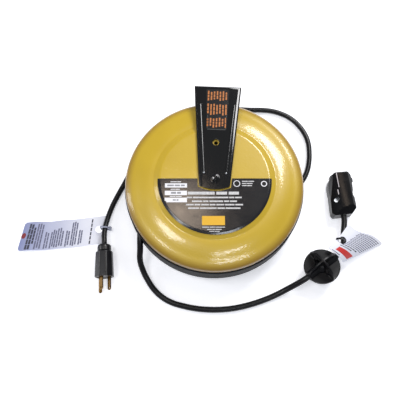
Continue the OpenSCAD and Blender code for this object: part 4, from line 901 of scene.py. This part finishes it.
def make_bracket():
    """One sheet bent into leg and plate, with its ribs, grooves, locating pip and holes."""
    sheet = draw("bracket_pressing", [(x, y, LEG_TOP_Z) for x, y in leg_outline()], closed=True)
    high, bend_z = PLATE_Y - PLATE_BEND, LEG_TOP_Z - PLATE_BEND
    mark(sheet, "edges", lambda place, way: place.y > high - 0.1 and abs(way.x) > 0.9)
    path = arc(high, bend_z, PLATE_BEND, 90, 0, 8) + [(PLATE_Y, PLATE_LOW)]
    for (y0, z0), (y1, z1) in zip(path, path[1:]):
        pull((0, y1 - y0, z1 - z0))
    close_up(1e-7)
    settle()
    face_up(sheet)
    thicken(sheet, LEG_T)
    combine(sheet, [margin_cutter(-1), margin_cutter(1)])
    combine(sheet, [stamped_rib(-1), stamped_rib(1)], "UNION")
    combine(sheet, [sphere("locating_pip", PIP_R, 24, (*PIP_AT, LEG_TOP_Z - PIP_SINK))], "UNION")
    under, over = LEG_Z - 6.8, LEG_TOP_Z + 5.7
    tools = [rod(0, 0, under, over, PIVOT_HOLE_D), rod(0, LOCK_R, under, over, LEG_HOLE_D)]
    plate = frame_of((0, PLATE_Y - 1, (PLATE_LOW + LEG_TOP_Z) / 2), 0, 90)
    for hole in ring_of_rods(PLATE_HOLE_R, -5, 5, PLATE_HOLE_D):
        tools.append(move_to(hole, plate @ hole.matrix_world))
    combine(sheet, tools)
    round_edges(sheet, 0.4, 3, 40)
    smooth(sheet, 30)
    move_to(sheet, frame_of((0, 0, 0), LEAN))
    hand_over(sheet, "bracket", "black_enamel", black_enamel, "bracket")


def make_sticker():
    """Film on the leg with rounded corners, a little wider at the top."""
    low_y, high_y, corner = LOCK_R + 17.5, PLATE_Y - PLATE_BEND - 1, 2
    low_x, top_x = 13.2 - corner, 16 - corner
    centres = ((-low_x, low_y + corner), (low_x, low_y + corner),
               (top_x, high_y - corner), (-top_x, high_y - corner))
    outline = []
    for (x, y), first in zip(centres, (180, -90, 0, 90)):
        outline += arc(x, y, corner, first, first + 90, 6)
    foot = LEG_TOP_Z + LABEL_GAP
    sticker = slab("bracket_sticker", outline, foot, foot + LABEL_T)
    move_to(sticker, frame_of((0, 0, 0), LEAN))
    hand_over(sticker, "bracket", "black_label", label_film, "bracket_label")


def make_bolt():
    """Flange bolt: hexagon with a chamfered, slightly dished top on a dished flange."""
    base = LEG_TOP_Z + 0.1
    flange = lathe("bracket_flange_bolt", [(r, base + h) for r, h in (
        (0, 0), (6.1, 0), (6.6, 0.2), (6.75, 0.6), (6.6, 1.0), (6.1, 1.25), (5.5, 1.25), (5.0, 1.2),
        (4.2, 1.5), (0, 1.5))], 64)
    head = rod(0, 0, base + 0.4, base + 0.4 + HEAD_H, across_corners(HEAD_ACROSS, 6), 6, HEAD_TURN)
    dome = lathe("bolt_chamfer", [(r, base + h) for r, h in (
        (0, 0.3), (6, 0.3), (6, 3.6), (4.1, 4.9), (3.0, 5.0), (2.2, 4.6), (0, 4.5))], 48)
    combine(head, [dome], "INTERSECT")
    combine(flange, [head], "UNION")
    stem = rod(0, 0, base - 17, base + 0.3, STEM_D)
    combine(flange, [stem], "UNION")
    round_edges(flange, 0.15, 2, 40)
    smooth(flange, 30)
    hand_over(flange, "housing", "black_enamel", black_enamel, "bracket_bolt")


# ------------------------------------------------------------------ back of the housing
def make_terminal_cover():
    """Moulded cover that the reel lies on, with its corners rounded."""
    cover = rounded_copy("terminal_cover", "terminal_cover_moulding", 0.8, 3)
    hand_over(cover, "housing", "moulded_black", moulded_black, "terminal_cover")


# ------------------------------------------------------------------ plug
PLUG_LEN, PLUG_COLLAR, PLUG_W = 35.0, 11.0, 25.4
BLADE_OUT, BLADE_W, BLADE_T, BLADE_ROW = 6.35, 6.35, 1.5, -2.7
GROUND_OFF, GROUND_D = 11.9, 4.75


def make_plug():
    """Straight moulded plug: round collar, eight-sided body that widens to a flat, recessed front."""
    back_w = PLUG_W * 0.9
    near_end = PLUG_LEN / 2 - 0.1
    body = rod(0, 0, -PLUG_LEN / 2, PLUG_LEN / 2, across_corners(back_w, 8), 8, 22.5)
    body.name = "plug_moulding"
    move_to(body, body.matrix_world.copy())
    open_mesh(body)
    mark(body, "faces", lambda place, way: way.z > 0.9)
    bpy.ops.transform.resize(value=(PLUG_W / back_w, PLUG_W / back_w, 1))
    mark(body, "edges", lambda place, way: abs(way.z) > 0.9)
    bpy.ops.mesh.bevel(offset=1.9 * MM, segments=4)
    mark(body, "edges", lambda place, way: abs(way.z) < 0.1 and abs(place.z) > near_end)
    bpy.ops.mesh.bevel(offset=0.7 * MM, segments=3)
    mark(body, "faces", lambda place, way: way.z > 0.999 and place.z > near_end)
    bpy.ops.mesh.inset(thickness=1.6 * MM)
    bpy.ops.mesh.inset(thickness=0.5 * MM, depth=-0.7 * MM)
    settle()
    collar = lathe("plug_collar", [(0, -28.5), (5.2, -28.5), (6.6, -28.3), (8.3, -27.4), (9.2, -26.0),
                                   (9.5, -24.5), (9.5, -19.6), (9.1, -18.9), (8.6, -18.2), (8.6, -17),
                                   (8.6, -15), (0, -15)], 96)
    combine(body, [collar], "UNION")
    move_to(body, frame_of((PLUG_COLLAR + PLUG_LEN / 2, 0, 0)) @ LAID_ALONG_X)
    front = PLUG_COLLAR + PLUG_LEN
    sockets = [block((front - 12, side * BLADE_OUT - BLADE_T / 2, BLADE_ROW - BLADE_W / 2),
                     (front + 1, side * BLADE_OUT + BLADE_T / 2, BLADE_ROW + BLADE_W / 2))
               for side in (-1, 1)]
    ground = rod(0, 0, -6.5, 6.5, GROUND_D, 32)
    sockets.append(move_to(ground, frame_of((front - 5.5, 0, BLADE_ROW + GROUND_OFF)) @ LAID_ALONG_X))
    combine(body, sockets)
    smooth(body, 28)
    move_to(body, frame_of(PLUG_AT, PLUG_TURN, PLUG_ROLL))
    hand_over(body, "housing", "black_vinyl", black_vinyl, "plug_body")
    return body


# ------------------------------------------------------------------ ball stop
BALL_CORE, BALL_RIB, BALL_BAND, BALL_SPLIT = 10.0, 1.8, 1.6, 0.15
BALL_SCREW_Y, BALL_SCREW_D, BALL_HEAD_D = 12, 4.2, 7.4


def make_ball_half(side):
    """Half of the ball: deep pockets between crossed ribs and a band at the split."""
    half = sphere("stop_ball_half", BALL_R, 96)
    reach, rib = BALL_R + 2, BALL_RIB / 2
    pockets = []
    for sx in (-1, 1):
        for sy in (-1, 1):
            spans = [sorted((s * near, s * reach)) for s, near in ((sx, rib), (sy, rib), (side, BALL_BAND))]
            pockets.append(round_edges(block(*zip(*spans)), 1.2, 2))
    # what stays solid inside the pockets: a core, the cord's tunnel and the screws' bosses
    kept = [sphere("core", BALL_CORE, 96),
            move_to(rod(0, 0, -BALL_R - 4, BALL_R + 4, OUTLET_D + 4.6), LAID_ALONG_X)]
    for y in (-BALL_SCREW_Y, BALL_SCREW_Y):
        kept.append(rod(0, y, -1, 11, BALL_HEAD_D, 32) if side > 0
                    else rod(0, y, -BALL_R - 4, 1, BALL_HEAD_D + 3, 32))
    for pocket in pockets:
        combine(pocket, [own_copy(tool, tool.name) for tool in kept])
    combine(half, pockets)
    for tool in kept:
        bpy.data.objects.remove(tool)
    tools = [move_to(rod(0, 0, -40, 40, OUTLET_D + 0.3), LAID_ALONG_X)]
    for y in (-BALL_SCREW_Y, BALL_SCREW_Y):
        tools += [rod(0, y, -11, 9, BALL_SCREW_D, 32), rod(0, y, -26, -10, BALL_HEAD_D, 32)]
    combine(half, tools)
    away = ((-40, -40, -80), (40, 40, BALL_SPLIT)) if side > 0 else ((-40, -40, -BALL_SPLIT), (40, 40, 80))
    combine(half, [block(*away)])
    round_edges(half, 0.35, 2, 40)
    smooth(half, 30)
    half.name = "stop_ball_top" if side > 0 else "stop_ball_bottom"
    move_to(half, frame_of(BALL_AT, BALL_TURN, BALL_ROLL))
    return hand_over(half, "housing", "black_vinyl", dull_vinyl,
                     "stop_ball_upper" if side > 0 else "stop_ball_lower")


# ------------------------------------------------------------------ outlet
def seam_bead(x, start, end, height):
    """Thin pale bead along the ridge of the outlet, between two places of its length: a painted highlight
    on the ridge.
    """
    bead = smooth(round_edges(rod(0, 0, start, end, 1.3, 20), 0.5, 3))
    bead.name = "outlet_seam_bead"
    move_to(bead, frame_of(OUTLET_AT, OUTLET_TURN) @ frame_of((x, 0, height), 0, -90) @ bead.matrix_world)
    return hand_over(bead, "housing", "glossy_black", painted_seam_highlight)


def make_outlet():
    """Both halves of the outlet, and two pale beads on stretches of its ridge as a painted highlight."""
    pieces = []
    for half, end in (("upper", "top"), ("lower", "bottom")):
        shell = rounded_copy("outlet_body_" + half, "outlet_" + end + "_moulding", 0.7, 3)
        pieces.append(hand_over(shell, "housing", "glossy_black", glossy_black, "outlet_body_" + half))
    return pieces + [seam_bead(-2.6, 38.2, 60.2, 13.0), seam_bead(-4.6, 28, 35.6, 11.75)]


# ------------------------------------------------------------------ tags and ties
TAG_T = 0.6
TAG_LEFT, TAG_RIGHT, TAG_LOW_Y, TAG_WIDE = -276, -151, -79.8, 41.5
TAG_SLANT, TAG_TAPER = 8, 4                 # how far its far and near ends run aslant
TAG_BASE, TAG_RISE, TAG_WAVE, TAG_WAVES = 1.5, 11, 2, 3
# the outlet's tag: its bowed near edge from end to end, and the corners of its far edge
NEAR_A, NEAR_M, NEAR_B = (186.4, -46.4, 24.5), (166.2, -74.5, 27.3), (152.3, -82.8, 33.2)
FAR_C, FAR_D = Vector((175.8, -99.4, 16)), Vector((238.1, -69.8, 1))
TAG_SWELL, TAG_DROOP = 3, 66
DOT_R, DOT_AT = 4.1, (0.0285, 0.52)
DOT_SPAN = 140          # length over which a share of 1 is laid out at the tag's slanted end


def on_feeder_tag(u, v):
    """Point on the plug's tag at a share u of its length and v of its width, from its low left corner."""
    slant = TAG_SLANT * v * (1 - u)
    turn = 360 * TAG_WAVES * (1 - u)
    return Vector((TAG_LEFT + slant + (TAG_RIGHT - TAG_LEFT - slant - TAG_TAPER * (1 - v)) * u,
                   TAG_LOW_Y + TAG_RISE * max(u, 0) ** 1.8 + TAG_WIDE * v,
                   TAG_BASE + TAG_WAVE * (1 - u) * (1 - math.cos(math.radians(turn)))))


def on_outlet_tag(u, v):
    """Point on the outlet's tag at a share u of the way to its far edge and v along its near edge."""
    near = Vector(tuple((1 - v) ** 2 * b + 2 * v * (1 - v) * m + v * v * a
                        for a, m, b in zip(NEAR_A, NEAR_M, NEAR_B)))
    far = FAR_C + (FAR_D - FAR_C) * v
    flat = near + (far - near) * u
    swell = TAG_SWELL * v * math.sin(math.pi * u)
    droop = TAG_DROOP * v ** 3 * u * (1 - u) ** 3
    return Vector((flat.x + 0.3 * swell, flat.y + 0.95 * swell - droop,
                   near.z + (far.z - near.z) * max(u, 0) ** (3 - v)))


def make_tag(name, surface, cells, ends, hole, vinyl, node_name):
    """Vinyl sheet with rounded corners, whose radius is given as shares, and a punched hole."""
    settle()
    bpy.ops.mesh.primitive_grid_add(x_subdivisions=cells[0], y_subdivisions=cells[1], size=2)
    tag = bpy.context.object
    tag.name = name
    long_share, wide_share = ends
    for vert in tag.data.vertices:
        u, v = (vert.co.x + 1) / 2, (vert.co.y + 1) / 2
        side = min(v, 1 - v)
        if side < wide_share:
            bite = long_share * (1 - math.sqrt(max(0, 1 - (1 - side / wide_share) ** 2)))
            u = bite + u * (1 - 2 * bite)
        vert.co = surface(u, v) * MM
    face_up(tag)
    thicken(tag, TAG_T, offset=1)
    combine(tag, [rod(hole[0], hole[1], -1, 60, hole[2])])
    smooth(tag, 40)
    return hand_over(tag, "housing", "white_vinyl", vinyl, node_name)


def top_of(surface):
    """The tag's upper face: its layout moved out by the thickness of the vinyl."""
    def place(u, v):
        here = surface(u, v)
        across = surface(u + 0.004, v) - here
        along = surface(u, min(v + 0.004, 1)) - surface(u, min(v, 0.996))
        return here + across.cross(along).normalized() * (TAG_T + 0.05)
    return place


def print_rules(surface, u0, u1, v, height, count, share):
    """Row of equal bars on a tag; each takes a share of its step, and the rest is a gap."""
    step = (u1 - u0) / count
    return [print_patch(surface, u0 + k * step, v, u0 + (k + share) * step, v + height)
            for k in range(count)]


def print_feeder_tag():
    """Plain rules across the tag, with a red dot at its round end."""
    sheet = top_of(on_feeder_tag)
    across = crosswise(sheet)
    dark = []
    for u, low, high, width in ((0.078, 0.03, 0.95, 0.026), (0.112, 0.03, 0.92, 0.026),
                                (0.148, 0.22, 0.80, 0.022)):
        dark += print_rules(across, low, high, u, width, 5, 0.9)
    fine = ((0.185, 0.03, 0.94), (0.212, 0.08, 0.94), (0.24, 0.05, 0.9), (0.29, 0.04, 0.64),
            (0.318, 0.06, 0.6), (0.36, 0.04, 0.62), (0.386, 0.1, 0.7), (0.412, 0.06, 0.66),
            (0.44, 0.06, 0.72), (0.468, 0.1, 0.74), (0.495, 0.08, 0.62), (0.54, 0.05, 0.62),
            (0.565, 0.1, 0.6), (0.6, 0.08, 0.9), (0.624, 0.06, 0.92), (0.65, 0.1, 0.88),
            (0.69, 0.08, 0.6), (0.715, 0.12, 0.58))
    grey = []
    for i, (u, low, high) in enumerate(fine):
        grey += print_rules(across, low, high, u, 0.017, 3 + i % 3, 0.93)
    dark += print_rules(across, 0.05, 0.95, 0.822, 0.016, 6, 0.8)
    join_print("feeder_tag_dark_rules", dark, "housing", "white_vinyl", dark_ink)
    join_print("feeder_tag_fine_rules", grey, "housing", "white_vinyl", grey_ink)
    dot = lathe("dot", [(0, 0), (2.1, 0), (DOT_R, 0)], 40)
    for vert in dot.data.vertices:
        u, v = DOT_AT[0] + vert.co.x / MM / DOT_SPAN, DOT_AT[1] + vert.co.y / MM / TAG_WIDE
        vert.co = (sheet(u, v) + Vector((0, 0, INK_LIFT))) * MM
    join_print("feeder_tag_red_dot", [dot], "housing", "white_vinyl", dark_red_ink)


def print_outlet_tag():
    """Plain red box and plain rules."""
    sheet = top_of(on_outlet_tag)
    red = print_rules(sheet, 0.276, 0.924, 0.115, 0.155, 12, 1)
    join_print("outlet_tag_red_box", red, "housing", "white_vinyl", red_ink)
    dark = []
    for start, end, low in ((0.2, 0.62, 0.03), (0.24, 0.72, 0.325), (0.25, 0.86, 0.385)):
        dark += print_rules(sheet, start, end, low, 0.025, 6, 0.84)
    join_print("outlet_tag_dark_rules", dark, "housing", "white_vinyl", dark_ink)
    grey = []
    for i in range(11):
        grey += print_rules(sheet, 0.3 + 0.014 * (i % 4), 0.95, 0.445 + i * 0.047, 0.022, 9, 0.8)
    join_print("outlet_tag_fine_rules", grey, "housing", "white_vinyl", grey_ink)


# ------------------------------------------------------------------ cord on the spool
def make_winding():
    """Outer turns of the cord, wound on a plain core of the layers below."""
    hub_r, core_r, layer_r = 55.4, 89.6, 93.7
    core = lathe("winding_core", [(hub_r, 33), (core_r, 33), (core_r, 62), (hub_r, 62), (hub_r, 33)], 96)
    turns, low, high = 2.6, 36.2, 58.1
    steps = int(turns * 32)
    route = [heading(360 * turns * i / steps) * layer_r + Vector((0, 0, low + (high - low) * i / steps))
             for i in range(steps + 1)]
    layer = lay_cord("winding_layer", route, OUTLET_D)
    hold(layer)
    bpy.ops.object.convert(target="MESH")
    layer = bpy.context.object
    hold(core, layer)
    bpy.ops.object.join()
    layer.name = "wound_cord_layer"
    hand_over(smooth(layer), "spool", "cord_jacket", cord_jacket, "wound_cord")


# ------------------------------------------------------------------ floor
TABLE_SIZE = 8          # metres
TABLE_CLOUDS = 3        # patches of tone in a metre of the table


def make_floor():
    """Pale sweep table under the reel."""
    material, tree, here = new_material("white_sweep_table")
    cloud = node(tree, "ShaderNodeTexNoise", {"Scale": TABLE_CLOUDS}, {"Vector": here})
    colour = tones(tree, "#f7f7f9", "#fafafc", (cloud, "Fac"))
    close(material, tree,
          {"Roughness": 0.8, "Emission Color": (0.95, 0.96, 1.0, 1), "Emission Strength": 0.5},
          {"Base Color": (colour, 2)})
    settle()
    bpy.ops.mesh.primitive_plane_add(size=TABLE_SIZE, location=(0, 0, -0.0006))
    floor = bpy.context.object
    floor.name = "sweep_table"
    paint(floor, material)


set_camera()
set_lights()
feeder = lay_cord("feeder_cord_jacket", feeder_route, FEEDER_D)
outlet_lead = lay_cord("outlet_cord_jacket", outlet_route, OUTLET_D)
dress_packed_parts()
hand_over(feeder, "housing", "cord_jacket", cord_jacket, "feeder_cord")
hand_over(outlet_lead, "housing", "cord_jacket", cord_jacket, "outlet_cord")
make_lid()
make_pan()
make_label()
print_label()
make_bracket()
make_rib_glint_studs()
make_sticker()
print_sticker()
make_bolt()
make_terminal_cover()
plug = make_plug()
ball = [make_ball_half(1), make_ball_half(-1)]
outlet = make_outlet()
feeder_tag = make_tag("feeder_tag_sheet", on_feeder_tag, (60, 16), (0.022, 0.08), (-162.7, -48.3, 10.4),
                      lavender_painted_shade_vinyl, "feeder_tag")
print_feeder_tag()
outlet_tag = make_tag("outlet_tag_sheet", on_outlet_tag, (28, 20), (0.03, 0.04), (175.1, -71, 10.8),
                      white_vinyl, "outlet_tag")
print_outlet_tag()
make_winding()
make_floor()
